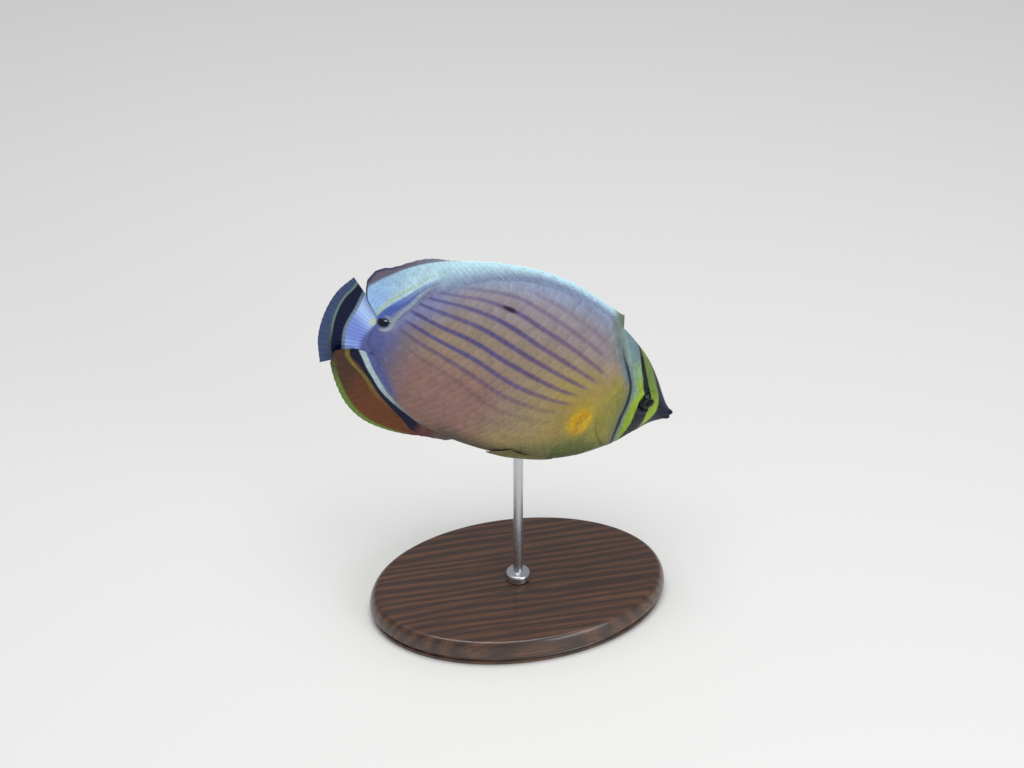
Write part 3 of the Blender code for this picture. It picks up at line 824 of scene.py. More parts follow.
def unwrap(s, t):
    """A spot on the unwrapped skin, with the left side on the left half."""
    left = np.cos(t) > 0
    rise = np.where(left, t, math.pi - t)
    tall = (back_height(s) - belly_height(s)) / 0.60
    u = 0.02 + s * 0.44 + np.where(left, 0.0, 0.5)
    return np.stack([u, 0.5 + rise / (math.pi / 2) * 0.46 * tall], axis=-1)


def coat(name, rows, length_share, width_share):
    """One coat piece over the skin from rows of (s, t, step s, step t, width)."""
    roots = rows[:, :2]
    turn = random_draw.normal(0.0, SCALE_TURN, len(rows))
    ahead = rows[:, 2:4] / rows[:, 2:3]
    ahead[:, 1] += turn
    width = np.clip(rows[:, 4], *SCALE_WIDTHS) * width_share
    length = np.minimum(width * length_share, LONGEST_SCALE)
    sizes = np.stack([length, width], axis=-1) * random_draw.uniform(0.95, 1.05, (len(rows), 1))
    return lay_scales(name, skin_surface, body_out, roots, ahead, sizes, unwrap(*roots.T))[0]


coat_left = coat("scales_left", flank_roots(1), 2.25, 0.64)
coat_right = coat("scales_right", flank_roots(-1), 2.25, 0.64)

# %% [markdown]
# ## Scales of the head
# The scales of the cheek, the gill cover and the nape are about half the size of those of the
# flank, and the snout and the rim of the eye are bare. They could follow the folds of the cheek. No
# violet line guides them, so level rows are enough, and the function that laid the flank's coat
# lays this one too.

# %% Head scales
HEAD_PITCH = 0.0125
NEAR_THROAT = -0.97


def head_roots(side):
    """Roots of the small scales of the cheek, the gill cover and the nape on one side."""
    found = []
    for number, row in enumerate(np.arange(-0.20, 0.25, HEAD_PITCH)):
        s = np.arange(row_starts(0.105, number, HEAD_PITCH), 0.30, HEAD_PITCH)
        h = np.full(len(s), row)
        level = level_of(s, h)
        edge = head_edge(np.clip(level, -1, 1))
        away = np.hypot(s - EYE_PLACE[0], h - EYE_PLACE[1]) * STANDARD_LENGTH
        kept = (level < NEAR_RIDGE) & (level > NEAR_THROAT)
        kept &= (s < edge - 0.014) & (away > EYE_RADIUS * 1.35)
        found.append(roots_of(s, h, h, h + HEAD_PITCH, side)[kept])
    return np.concatenate(found)


coat_head = coat("scales_head", np.concatenate([head_roots(1), head_roots(-1)]), 2.1, 0.62)

# %% [markdown]
# ## The fins of the back and the belly
# Stiff spines hold up the front of these fins and soft rays, which split towards their tips, the
# rest. The thin skin between them runs out to the margin, with a notch behind each spine. One grid
# with a dozen columns to a ray carries it all: the number of the ray and the share of the way to
# the margin give each point's place, and the half thickness swells on a ray. The grid is extruded
# and the copy becomes the other face.

# %% Fin sizes
DORSAL_SPINES, DORSAL_RAYS = 13, 21
ANAL_SPINES, ANAL_RAYS = 3, 20
CAUDAL_RAYS = 17
PECTORAL_RAYS = 14
FIN_ROOT_HALF = 0.00070
FIN_EDGE_HALF = 0.00016
SPINE_HALF = 0.00058
RAY_RIDGE = 0.00013
SPINE_NOTCH = 0.050
RAY_NOTCH = 0.012
TAIL_NOTCH = 0.003
FIN_SINK = 0.0022
COLUMNS_PER_RAY = 12
LOBE_OUT = 0.0011
STALK_END = 1.003
CAUDAL_SINK = 0.012

DORSAL_BASE = [
    (0, 0.275), (12, 0.640), (13, 0.665), (22, 0.835), (27, 0.908), (30, 0.945), (33, 0.982),
]
DORSAL_MARGIN = [
    (0, 0.314, 0.304), (3, 0.450, 0.351), (6, 0.553, 0.374), (9, 0.648, 0.379),
    (12, 0.735, 0.369), (16, 0.815, 0.351), (20, 0.885, 0.332), (26, 0.992, 0.300),
    (28, 1.045, 0.265), (30, 1.096, 0.233), (31, 1.106, 0.197), (32, 1.088, 0.145),
    (33, 1.036, 0.093),
]
ANAL_BASE = [
    (0, 0.620), (2, 0.670), (3, 0.695), (12, 0.860), (17, 0.932), (20, 0.966), (22, 0.990),
]
ANAL_MARGIN = [
    (0, 0.668, -0.261), (2, 0.745, -0.267), (4, 0.800, -0.273), (7, 0.870, -0.273),
    (10, 0.935, -0.261), (14, 1.010, -0.218), (17, 1.060, -0.165), (19, 1.090, -0.124),
    (20, 1.106, -0.096), (21, 1.107, -0.053), (22, 1.057, -0.029),
]
CAUDAL_MARGIN = [
    (0, 1.138, 0.182), (4, 1.166, 0.118), (8, 1.174, 0.038), (12, 1.162, -0.044),
    (16, 1.128, -0.118),
]
CAUDAL_BASE_TOP, CAUDAL_BASE_BOTTOM = 0.072, -0.018
CAUDAL_SWEEP = 0.12


def off_ray(ray):
    """How far a ray number lies from the nearest ray."""
    return np.abs(ray - np.round(ray))


def half_thickness(ray, v, spines, spacing):
    """Half thickness in metres at a ray number, a share v of the way out, and the rays' spacing."""
    phase = off_ray(ray)
    web = between(FIN_EDGE_HALF, FIN_ROOT_HALF, 1 - ramp(v, 0.0, 0.7))
    radius = SPINE_HALF * (1 - 0.75 * v**1.5)
    round_spine = np.sqrt(np.maximum(radius**2 - (phase * spacing) ** 2, 0.0))
    split = 0.20 * ramp(v, 0.50, 0.85)
    soft = RAY_RIDGE * (1 - 0.45 * v) * near(phase, split, 0.11)
    return np.where(np.round(ray) < spines, np.maximum(web * 0.9, round_spine), web + soft)


def two_faced(name, last, rows, place):
    """A thin closed fin from place(ray, v, face), with face 1 on the left and -1 on the right."""
    shape = grid(last * COLUMNS_PER_RAY, rows)
    grown = bmesh.ops.extrude_face_region(shape, geom=shape.faces[:], use_keep_orig=True)
    for item in grown["geom"]:
        if isinstance(item, bmesh.types.BMVert):
            item.co.z = 1.0
    made = object_from(name, shape)
    u, v, w = np.clip(points_of(made.data), 0.0, 1.0).T
    move_points(made.data, place(u * last, v, np.where(w > 0.5, -1.0, 1.0)))
    rework(made.data, lambda shape: bmesh.ops.recalc_face_normals(shape, faces=shape.faces[:]))
    write_map(made.data, "Rays", np.stack([u * last, v], axis=-1))
    return finish_shape(made)


def outline_point(edge, s, out, side):
    """Shares of a point moved out, in metres, square to the outline of the back or the belly."""
    step = 0.004
    slope = (edge(s + step) - edge(s - step)) / (2 * step)
    length = np.hypot(slope, 1.0)
    shift = out / STANDARD_LENGTH
    return s - side * slope / length * shift, edge(s) + side * shift / length


def edge_fin(name, edge, side, base, margin, spines, rays):
    """A fin along the back, side 1, or the belly, side -1."""
    base_s, tip_s, tip_h = through(base), through(margin, 1), through(margin, 2)

    def middle(ray, v):
        """Straight middle plane of the fin."""
        notch = np.where(ray < spines - 0.5, SPINE_NOTCH, RAY_NOTCH)
        dip = notch * (1 - near(off_ray(ray), 0.0, 0.16))
        root_s, root_h = outline_point(edge, base_s(ray), -FIN_SINK, side)
        reach = v * (1 - dip * v**4)
        s = between(root_s, tip_s(ray), reach)
        return straight(s, -LOBE_OUT * ramp(s, 0.96, 1.08), between(root_h, tip_h(ray), reach))

    def place(ray, v, face):
        """Points of the two faces."""
        spacing = np.linalg.norm(middle(ray + 0.5, v) - middle(ray - 0.5, v), axis=-1)
        points = middle(ray, v)
        points[:, 1] += face * half_thickness(ray, v, spines, spacing)
        return points

    return two_faced(name, spines + rays - 1, 30, place), middle


dorsal, dorsal_middle = edge_fin(
    "dorsal_fin_fine", back_height, 1, DORSAL_BASE, DORSAL_MARGIN, DORSAL_SPINES, DORSAL_RAYS
)
anal, anal_middle = edge_fin(
    "anal_fin_fine", belly_height, -1, ANAL_BASE, ANAL_MARGIN, ANAL_SPINES, ANAL_RAYS
)

# %% [markdown]
# ## The tail fin
# The tail is a fan of 17 rays that split twice. Its root is sunk in the end of the tail stalk, and
# the fan is swept a little to the left, because the tail is at the end of its stroke.

# %% Tail fin
def tail_middle(ray, v):
    """Straight middle plane of the tail fin."""
    root_h = between(CAUDAL_BASE_TOP, CAUDAL_BASE_BOTTOM, ray / (CAUDAL_RAYS - 1))
    reach = v * (1 - TAIL_NOTCH * (1 - near(off_ray(ray), 0.0, 0.2)) * v**4)
    s = between(STALK_END - CAUDAL_SINK, through(CAUDAL_MARGIN, 1)(ray), reach)
    h = between(root_h, through(CAUDAL_MARGIN, 2)(ray), reach)
    return straight(s, CAUDAL_SWEEP * np.maximum(s - STALK_END, 0.0) * STANDARD_LENGTH, h)


def tail_place(ray, v, face):
    """Points of the two faces of the tail fin."""
    points = tail_middle(ray, v)
    points[:, 1] += face * half_thickness(ray, v, 0, 1.0)
    return points


caudal = two_faced("caudal_fin_fine", CAUDAL_RAYS - 1, 34, tail_place)

# %% [markdown]
# ## Scales on the fins
# Butterflyfish have scaly fins: small scales climb the rear part of the back and belly fins, and
# they thin out half way to the margin. They are laid on the same middle plane as the fin, moved out
# by its half thickness, with their x along the rays. The coat knows a place by one pair of numbers,
# so the ray numbers of the right face are kept apart from those of the left by adding 100.

# %% Fin scales
FIN_SCALE_WIDTHS = (0.0004, 0.0013)
LONGEST_FIN_SCALE = 0.0026
FIN_ROW_PITCH = 0.045
RAY_SPACING = 0.003
FAR_FACE = 100


def fin_scales(name, middle, first_ray, last_ray, last_v, spines):
    """Small scales over both faces of a fin, from first_ray to last_ray and up to last_v."""
    rows = []
    for face in (1.0, -1.0):
        for number, v in enumerate(np.arange(0.04, 0.9, FIN_ROW_PITCH)):
            rays = np.arange(row_starts(first_ray, number, 0.5), last_ray, 0.5)
            rows += [(ray + FAR_FACE * (face < 0), v) for ray in rays[v < last_v(rays)]]
    roots = np.array(rows)

    def face_of(p):
        """The face, 1 or -1, and the ray number of p."""
        far = p > FAR_FACE / 2
        return np.where(far, -1.0, 1.0), np.where(far, p - FAR_FACE, p)

    def surface(p, q):
        """Points of the face that p lies on."""
        face, ray = face_of(p)
        points = middle(ray, q)
        points[:, 1] += face * half_thickness(ray, q, spines, RAY_SPACING)
        return points

    def out(p, q):
        """The direction out of that face, to the left or the right."""
        face, _ = face_of(p)
        return np.stack([face * 0.0, face, face * 0.0], axis=-1)

    face, ray = face_of(roots[:, 0])
    step = middle(ray + 0.25, roots[:, 1]) - middle(ray - 0.25, roots[:, 1])
    width = np.clip(np.linalg.norm(step, axis=-1) * 0.62, *FIN_SCALE_WIDTHS)
    sizes = np.stack([np.minimum(width * 2.3, LONGEST_FIN_SCALE), width], axis=-1)
    sizes *= random_draw.uniform(0.94, 1.06, (len(roots), 1))
    ahead = np.tile([[0.0, 1.0]], (len(roots), 1))
    spots = np.stack([
        0.02 + ray / 40.0 * 0.46 + (face < 0) * 0.5, 0.05 + roots[:, 1] * 0.9,
    ], axis=-1)
    made, there = lay_scales(name, surface, out, roots, ahead, sizes, spots)
    write_map(made.data, "Rays", np.stack([face_of(there[:, 0])[1], there[:, 1]], axis=-1))
    return made


dorsal_coat = fin_scales(
    "scales_dorsal", dorsal_middle, 0.5, 32.6,
    lambda ray: 0.40 + 0.32 * ramp(ray, 1, 9), DORSAL_SPINES,
)
anal_coat = fin_scales(
    "scales_anal", anal_middle, 0.5, 21.6,
    lambda ray: 0.35 + 0.27 * ramp(ray, 1, 10), ANAL_SPINES,
)

# %% [markdown]
# ## Side fins and belly fins
# The side fins are clear fans on a short root behind the gill cover, held half open. The belly
# fins are folded back along the lower edge of the trunk, each with one spine and five rays.

# %% Side fins
PECTORAL_ROOT_S = (0.314, 0.328)
PECTORAL_ROOT_H = (-0.006, -0.076)
PECTORAL_LENGTH = 0.026
PECTORAL_MARGIN = [
    (0, 0.80), (0.12, 0.94), (0.28, 1.0), (0.45, 0.97), (0.65, 0.85), (0.85, 0.68), (1, 0.54),
]
PECTORAL_OUT = math.radians(30.0)
PECTORAL_LEAN = (math.radians(14.0), math.radians(-46.0))
PECTORAL_WEB_HALF = 0.00010
PECTORAL_ROOT_HALF = 0.00035
PECTORAL_RIDGE = 0.00016
PECTORAL_CUP = 0.0012
PECTORAL_SINK = 0.0006
PELVIC_ROOT = 0.325
PELVIC_LENGTH = 0.215
PELVIC_INNER = (-0.955, -0.945)
PELVIC_OUTER = (-0.935, -0.815)
PELVIC_OUTER_SHORT = 0.28
PELVIC_RAYS = 6
PELVIC_WEB_HALF = 0.00016
PELVIC_ROOT_HALF = 0.00030
PELVIC_RIDGE = 0.00022
PELVIC_LIFT = 0.0016
PELVIC_SINK = 0.0008


def side_fin(name, side):
    """A clear side fin, a little cupped towards the body."""
    last = PECTORAL_RAYS - 1
    away = np.array([-math.cos(PECTORAL_OUT), side * math.sin(PECTORAL_OUT), 0.0])
    across = np.array([math.sin(PECTORAL_OUT), side * math.cos(PECTORAL_OUT), 0.0])
    up = np.array([0.0, 0.0, 1.0])

    def place(ray, v, face):
        """Points of the two faces."""
        u = ray / last
        phase = off_ray(ray)
        split = 0.20 * ramp(v, 0.45, 0.8)
        half = PECTORAL_WEB_HALF + PECTORAL_ROOT_HALF * (1 - ramp(v, 0.0, 0.35))
        half = half + PECTORAL_RIDGE * (1 - 0.6 * v) * near(phase, split, 0.12)
        root_s = between(*PECTORAL_ROOT_S, u)
        root = body(root_s, turn_of(root_s, between(*PECTORAL_ROOT_H, u), side))
        lean = between(*PECTORAL_LEAN, u)
        scallop = 1 - 0.02 * (1 - near(phase, 0.0, 0.2)) * v**4
        length = PECTORAL_LENGTH * through(PECTORAL_MARGIN)(u) * scallop
        way = away * np.cos(lean)[:, None] + up * np.sin(lean)[:, None]
        sideways = face * side * half - PECTORAL_CUP * np.sin(math.pi * v)
        return root + way * (length * v - PECTORAL_SINK)[:, None] + across * sideways[:, None]

    return two_faced(name, last, 26, place)


def belly_fin(name, side):
    """A belly fin folded against the body, its spine on the outside."""
    last = PELVIC_RAYS - 1
    normal = np.array([0.0, side * 0.80, -0.60])

    def place(ray, v, face):
        """Points of the two faces."""
        u = ray / last
        s = PELVIC_ROOT + PELVIC_LENGTH * v * (1 - PELVIC_OUTER_SHORT * u * v)
        turn = np.arcsin(between(between(*PELVIC_INNER, v), between(*PELVIC_OUTER, v), u))
        root = body(s, turn if side > 0 else math.pi - turn)
        half = PELVIC_WEB_HALF + PELVIC_ROOT_HALF * (1 - ramp(v, 0.0, 0.5))
        half = half + PELVIC_RIDGE * (1 - 0.6 * v) * near(off_ray(ray), 0.0, 0.16)
        lift = PELVIC_LIFT * ramp(v, -0.25, 0.8) - PELVIC_SINK
        return root + normal * (lift + face * side * half)[:, None]

    return two_faced(name, last, 26, place)


side_fins = [side_fin("side_fin_left", 1), side_fin("side_fin_right", -1)]
belly_fins = [belly_fin("belly_fin_left", 1), belly_fin("belly_fin_right", -1)]

# %% [markdown]
# ## Eyes
# A fish's eye is a flattened ball with a round pupil and a bulging clear front. The ball is made
# with its poles on the line of sight, so its rings are circles about the pupil. A UV map holds the
# distance from that line, and the material paints pupil and iris from it.

# %% Eyes
EYE_DEPTH = 0.0026
EYE_PROUD = 0.0012
EYE_FORWARD = math.radians(14.0)
EYE_BULGE = 0.10


def eye(name, side):
    """One eyeball in its socket."""
    s, h = EYE_PLACE
    out = body(np.array([s]), turn_of(np.array([s]), np.array([h]), side))[0, 1]
    centre = straight(s, out + side * (EYE_PROUD - EYE_DEPTH), h)
    shape = bmesh.new()
    bmesh.ops.create_uvsphere(
        shape, u_segments=64, v_segments=48, radius=1.0,
        matrix=Matrix.Rotation(math.radians(90), 4, "X"),
    )
    made = object_from(name, shape)
    local = points_of(made.data)
    bulge = 1 + EYE_BULGE * near(np.hypot(local[:, 0], local[:, 2]), 0.0, 0.55)
    write_map(made.data, "Eye", local[:, [0, 2]])
    turned = Matrix.Rotation(-side * EYE_FORWARD, 3, "Z")
    radii = np.array([EYE_RADIUS, EYE_DEPTH, EYE_RADIUS])
    shaped = local * radii
    shaped[:, 1] *= np.where(local[:, 1] * side > 0, bulge, 1.0)
    move_points(made.data, shaped @ np.array(turned).T + centre)
    write_rows(made.data, place_of(points_of(made.data)))
    return finish_shape(made)


eyes = [eye("eyeball_left", 1), eye("eyeball_right", -1)]

# %% [markdown]
# ## The stand
# The foot is an oval of dark wood with a moulded edge, and the rod is turned steel with a collar.
# Each is one profile spun about the upright axis. The foot's is then stretched to an oval, so that
# its moulding runs round it without a joint.

# %% Stand
BASE_LENGTH, BASE_WIDTH, BASE_HEIGHT = 0.100, 0.066, 0.009
ROD_RADIUS = 0.0016
ROD_IN_BODY = 0.009
ROD_IN_BASE = 0.006
COLLAR_RADIUS = 0.0040
COLLAR_HEIGHT = 0.0030
COLLAR_STRAIGHT = 0.62
COLLAR_ROUND = 0.0007
SEAT_GAP = 0.0003
COVE_EDGE = 0.490
COVE_FROM, COVE_TO = 0.0014, 0.0034
NOSE_SHARE = 0.030


def turned_piece(name, profile, steps):
    """Spins a profile of (radius, height) about the upright axis."""
    shape = bmesh.new()
    points = [shape.verts.new((radius, 0.0, height)) for radius, height in profile]
    for pair in zip(points, points[1:]):
        shape.edges.new(pair)
    spin_round(shape, steps)
    return object_from(name, shape)


def foot_profile():
    """Half section of the foot, from its flat underside by a small cove and a round nose to its top.

    The first number of a point is a share of the foot's length or width.
    """
    points = [(0.0, 0.0), (0.485, 0.0), (COVE_EDGE, 0.0004)]
    for a in np.linspace(0.0, math.pi / 2, 6):
        points.append((COVE_EDGE - 0.010 * math.sin(a), COVE_FROM + 0.0010 * (1 - math.cos(a))))
    for a in np.linspace(0.0, math.pi / 2, 14):
        height = between(COVE_TO, BASE_HEIGHT, math.sin(a))
        points.append((0.500 - NOSE_SHARE * (1 - math.cos(a)), height))
    return [*points, (0.44, BASE_HEIGHT), (0.0, BASE_HEIGHT)]


def rod_profile():
    """Half section of the rod and its collar."""
    seat = BASE_HEIGHT + SEAT_GAP
    collar = [(COLLAR_RADIUS, seat), (COLLAR_RADIUS, seat + COLLAR_HEIGHT * COLLAR_STRAIGHT)]
    for a in np.linspace(0.15, math.pi / 2, 6):
        height = seat + COLLAR_HEIGHT * (COLLAR_STRAIGHT + 0.30 * math.sin(a))
        collar.append((COLLAR_RADIUS - COLLAR_ROUND * (1 - math.cos(a)), height))
    collar.append((ROD_RADIUS + 0.0004, seat + COLLAR_HEIGHT * 0.95))
    collar.append((ROD_RADIUS, seat + COLLAR_HEIGHT))
    top = ROD_HEIGHT + ROD_IN_BODY
    low = BASE_HEIGHT - ROD_IN_BASE
    return [(0.0, low), (ROD_RADIUS, low), (ROD_RADIUS, seat), *collar, (ROD_RADIUS, top), (0.0, top)]


foot = turned_piece("stand_foot", foot_profile(), 160)
move_points(foot.data, points_of(foot.data) * np.array([BASE_LENGTH, BASE_WIDTH, 1.0]))
rod = turned_piece("stand_rod_turned", rod_profile(), 64)
for piece in (foot, rod):
    piece.data.shade_smooth()
    piece.data.set_sharp_from_angle(angle=math.radians(30))
print("foot", BASE_LENGTH, "by", BASE_WIDTH, "m")

# %% [markdown]
# ## Writing with nodes
# Every colour on the fish is a sum: how far is this point from a line, and how wide and how soft is
# the line? The helpers below write such sums as nodes. A curve node turns one measure into another,
# which is how a line drawn on a fish becomes a formula.

# %% Node helpers
CURVE_LOW, CURVE_HIGH = -0.4, 1.2


def paint(red, green, blue):
    """A colour from the usual 0 to 255 values."""
    shares = [channel / 255 for channel in (red, green, blue)]
    return (*[x / 12.92 if x <= 0.04045 else ((x + 0.055) / 1.055) ** 2.4 for x in shares], 1.0)


class Nodes:
    """Short calls that add nodes to one tree."""

    def __init__(self, tree):
        self.tree = tree

    def add(self, kind, inputs, **settings):
        """Adds a node, sets it up and fills its inputs with values or links."""
        node = self.tree.nodes.new(kind)
        for name, value in settings.items():
            setattr(node, name, value)
        for name, value in inputs.items():
            if isinstance(value, bpy.types.NodeSocket):
                self.tree.links.new(value, node.inputs[name])
            else:
                node.inputs[name].default_value = value
        return node

    def sum(self, operation, *values):
        """One step of arithmetic."""
        return self.add("ShaderNodeMath", dict(enumerate(values)), operation=operation).outputs[0]

    def sum_vector(self, operation, *values):
        """One step of arithmetic on whole vectors."""
        return self.add("ShaderNodeVectorMath", dict(enumerate(values)), operation=operation).outputs[0]

    def ramp(self, value, low, high):
        """Goes softly from 0 at low to 1 at high."""
        inputs = {"Value": value, "From Min": low, "From Max": high}
        return self.add("ShaderNodeMapRange", inputs, interpolation_type="SMOOTHSTEP").outputs[0]

    def spread(self, value, low, high, to_low, to_high):
        """Straight scaling of one span to another."""
        inputs = {"Value": value, "From Min": low, "From Max": high, "To Min": to_low, "To Max": to_high}
        return self.add("ShaderNodeMapRange", inputs).outputs[0]

    def curve(self, value, points):
        """A smooth curve through points."""
        share = self.spread(value, CURVE_LOW, CURVE_HIGH, 0.0, 1.0)
        node = self.add("ShaderNodeFloatCurve", {"Value": share})
        line = node.mapping.curves[0]
        span = CURVE_HIGH - CURVE_LOW
        places = [((x - CURVE_LOW) / span, (y - CURVE_LOW) / span) for x, y in sorted(points)]
        ends = [(0.0, places[0][1]), (1.0, places[-1][1])]
        for point, place in zip(line.points, ends):
            point.location = place
        for place in places:
            line.points.new(*place)
        node.mapping.update()
        return self.spread(node.outputs[0], 0.0, 1.0, CURVE_LOW, CURVE_HIGH)

    def between(self, start, end, share):
        """Goes evenly from start, where the share is 0, to end, where it is 1."""
        return self.spread(share, 0.0, 1.0, start, end)

    def behind(self, s, h, line):
        """How far s lies behind a line that is traced as points of (h, s)."""
        return self.sum("SUBTRACT", s, self.curve(h, line))

    def away(self, x, y):
        """The distance of x and y from nothing."""
        squares = self.sum("ADD", self.sum("MULTIPLY", x, x), self.sum("MULTIPLY", y, y))
        return self.sum("SQRT", squares)

    def off_whole(self, value):
        """How far a number lies from the nearest whole number."""
        return self.sum("ABSOLUTE", self.sum("SUBTRACT", value, self.sum("ROUND", value)))

    def all(self, *masks):
        """The product of masks."""
        product = masks[0]
        for mask in masks[1:]:
            product = self.sum("MULTIPLY", product, mask)
        return product

    def line(self, distance, half, soft):
        """1 within half of a line, fading to 0 over soft."""
        return self.ramp(self.sum("ABSOLUTE", distance), half + soft, half)

    def mix(self, mask, under, over):
        """Lays the colour over on the colour under where the mask is 1."""
        node = self.add("ShaderNodeMix", {}, data_type="RGBA")
        for socket, value in ((node.inputs[0], mask), (node.inputs[6], under), (node.inputs[7], over)):
            if isinstance(value, bpy.types.NodeSocket):
                self.tree.links.new(value, socket)
            else:
                socket.default_value = value
        return node.outputs[2]

    def group(self, group, **inputs):
        """Places a node group and returns its outputs."""
        named = {key.replace("_", " "): value for key, value in inputs.items()}
        return self.add("ShaderNodeGroup", named, node_tree=group).outputs

    def pair(self, name):
        """The two numbers of a UV map."""
        read = self.add("ShaderNodeUVMap", {}, uv_map=name).outputs[0]
        parts = self.add("ShaderNodeSeparateXYZ", {0: read}).outputs
        return parts[0], parts[1]


def group_of(name, outputs, build, inputs=()):
    """A node group whose outputs are what build returns, given the group's inputs."""
    group = bpy.data.node_groups.new(name, "ShaderNodeTree")
    for output, kind in outputs:
        group.interface.new_socket(name=output, in_out="OUTPUT", socket_type=kind)
    for source, kind in inputs:
        group.interface.new_socket(name=source, in_out="INPUT", socket_type=kind)
    given = list(group.nodes.new("NodeGroupInput").outputs)[:len(inputs)]
    end = group.nodes.new("NodeGroupOutput")
    for socket, value in zip(end.inputs, build(Nodes(group), *given)):
        group.links.new(value, socket)
    print(name, "has", len(group.nodes), "nodes")
    return group


# %% [markdown]
# ## The colours of the body
# The ground goes from yellow-olive at the belly over tan to lavender on the back. Violet lines run
# along every second row of scales. An orange patch lies at the root of the side fin. The head is
# crossed by a broad black bar through the eye, edged in yellow-green, and a thin black bar behind
# it. A black spot sits on top of the tail stalk, and its rim runs on over the back fin and the
# tail, so the spot is a group of its own, which all three patterns place.
#
# The colours could be painted on an unwrapped skin. Here each is laid on where a mask is 1, because
# a mask has no seams and can be moved by a number. The numbers in a mask are places: shares of the
# standard length for s and h, of the way up the body for up, and of the way from a fin's root to its
# margin for v. A ramp is 0 at its first number and 1 at its second.

# %% Body colours
BELLY_OLIVE = paint(94, 104, 62)
BELLY_TAN = paint(160, 139, 92)
BELLY_EDGE = paint(96, 82, 74)
# Painted shade for the lowest edge of the trunk.
BELLY_PAINTED_SHADE = paint(92, 84, 74)
FRONT_YELLOW = paint(158, 138, 72)
FRONT_OCHRE = paint(163, 143, 97)
FLANK_TAN = paint(146, 128, 112)
FLANK_LAVENDER = paint(137, 128, 136)
# The top of the back: its own paler colour, with a painted sheen of the light from above.
BACK_PALE_AND_SHEEN = paint(132, 144, 168)
NAPE_PALE = paint(130, 156, 148)
NAPE_OLIVE = paint(112, 124, 104)
REAR_MAUVE = paint(143, 109, 100)
REAR_VIOLET = paint(104, 100, 126)
REAR_PALE = paint(122, 126, 162)
REAR_BLUE = paint(86, 94, 148)
LINE_FRONT = paint(102, 82, 110)
LINE_LOW = paint(98, 76, 88)
LINE_REAR = paint(75, 70, 123)
DASH = paint(36, 22, 42)
PATCH_ORANGE = paint(212, 168, 0)
PATCH_YELLOW = paint(170, 146, 40)
CHEEK_OLIVE = paint(138, 134, 60)
CHEEK_SHADE = paint(116, 121, 80)
BAND_TOP = paint(106, 132, 136)
BAND_GREEN = paint(134, 166, 122)
BAND_CYAN = paint(124, 152, 154)
BAND_LIME = paint(140, 169, 40)
LIME_TOP = paint(104, 132, 56)
LIME_LOW = paint(98, 120, 76)
BAR_BLACK = paint(0, 12, 28)
THIN_BAR = paint(30, 42, 58)
BAR_EDGE = paint(116, 129, 122)
NAPE_SIDE = paint(106, 120, 122)
# Painted shade for the tip of the snout.
SNOUT_PAINTED_SHADE = paint(0, 8, 40)
SPOT_RING = paint(142, 154, 154)
SPOT_PALE = paint(186, 206, 176)

THIN_BAR_LINE = [
    (-0.19, 0.158), (-0.12, 0.176), (-0.053, 0.196), (-0.029, 0.201), (0.0, 0.206), (0.036, 0.208),
    (0.075, 0.212), (0.100, 0.218), (0.125, 0.231), (0.148, 0.247), (0.171, 0.262), (0.190, 0.276),
    (0.215, 0.291), (0.238, 0.305), (0.262, 0.318),
]
EYE_BAR_REAR = [
    (-0.16, 0.150), (-0.10, 0.156), (-0.063, 0.158), (-0.020, 0.156), (0.020, 0.162), (0.047, 0.168),
    (0.070, 0.161), (0.085, 0.160), (0.103, 0.170), (0.125, 0.181), (0.156, 0.198), (0.186, 0.212),
    (0.214, 0.224), (0.243, 0.240),
]
EYE_BAR_FRONT = [
    (-0.16, 0.110), (-0.10, 0.108), (-0.022, 0.106), (0.006, 0.111), (0.027, 0.115), (0.052, 0.125),
    (0.075, 0.131), (0.096, 0.141), (0.113, 0.153), (0.138, 0.169), (0.165, 0.186), (0.190, 0.201),
    (0.218, 0.219),
]
LIME_FRONT = [
    (-0.10, 0.108), (-0.05, 0.100), (-0.015, 0.087), (0.010, 0.078), (0.033, 0.078), (0.059, 0.086),
    (0.080, 0.099), (0.107, 0.116), (0.133, 0.133), (0.155, 0.150), (0.184, 0.176), (0.212, 0.204),
]
BLUE_STRIP_LINE = [
    (-0.190, 0.830), (-0.165, 0.858), (-0.141, 0.880), (-0.104, 0.918), (-0.056, 0.958), (-0.014, 0.985),
]


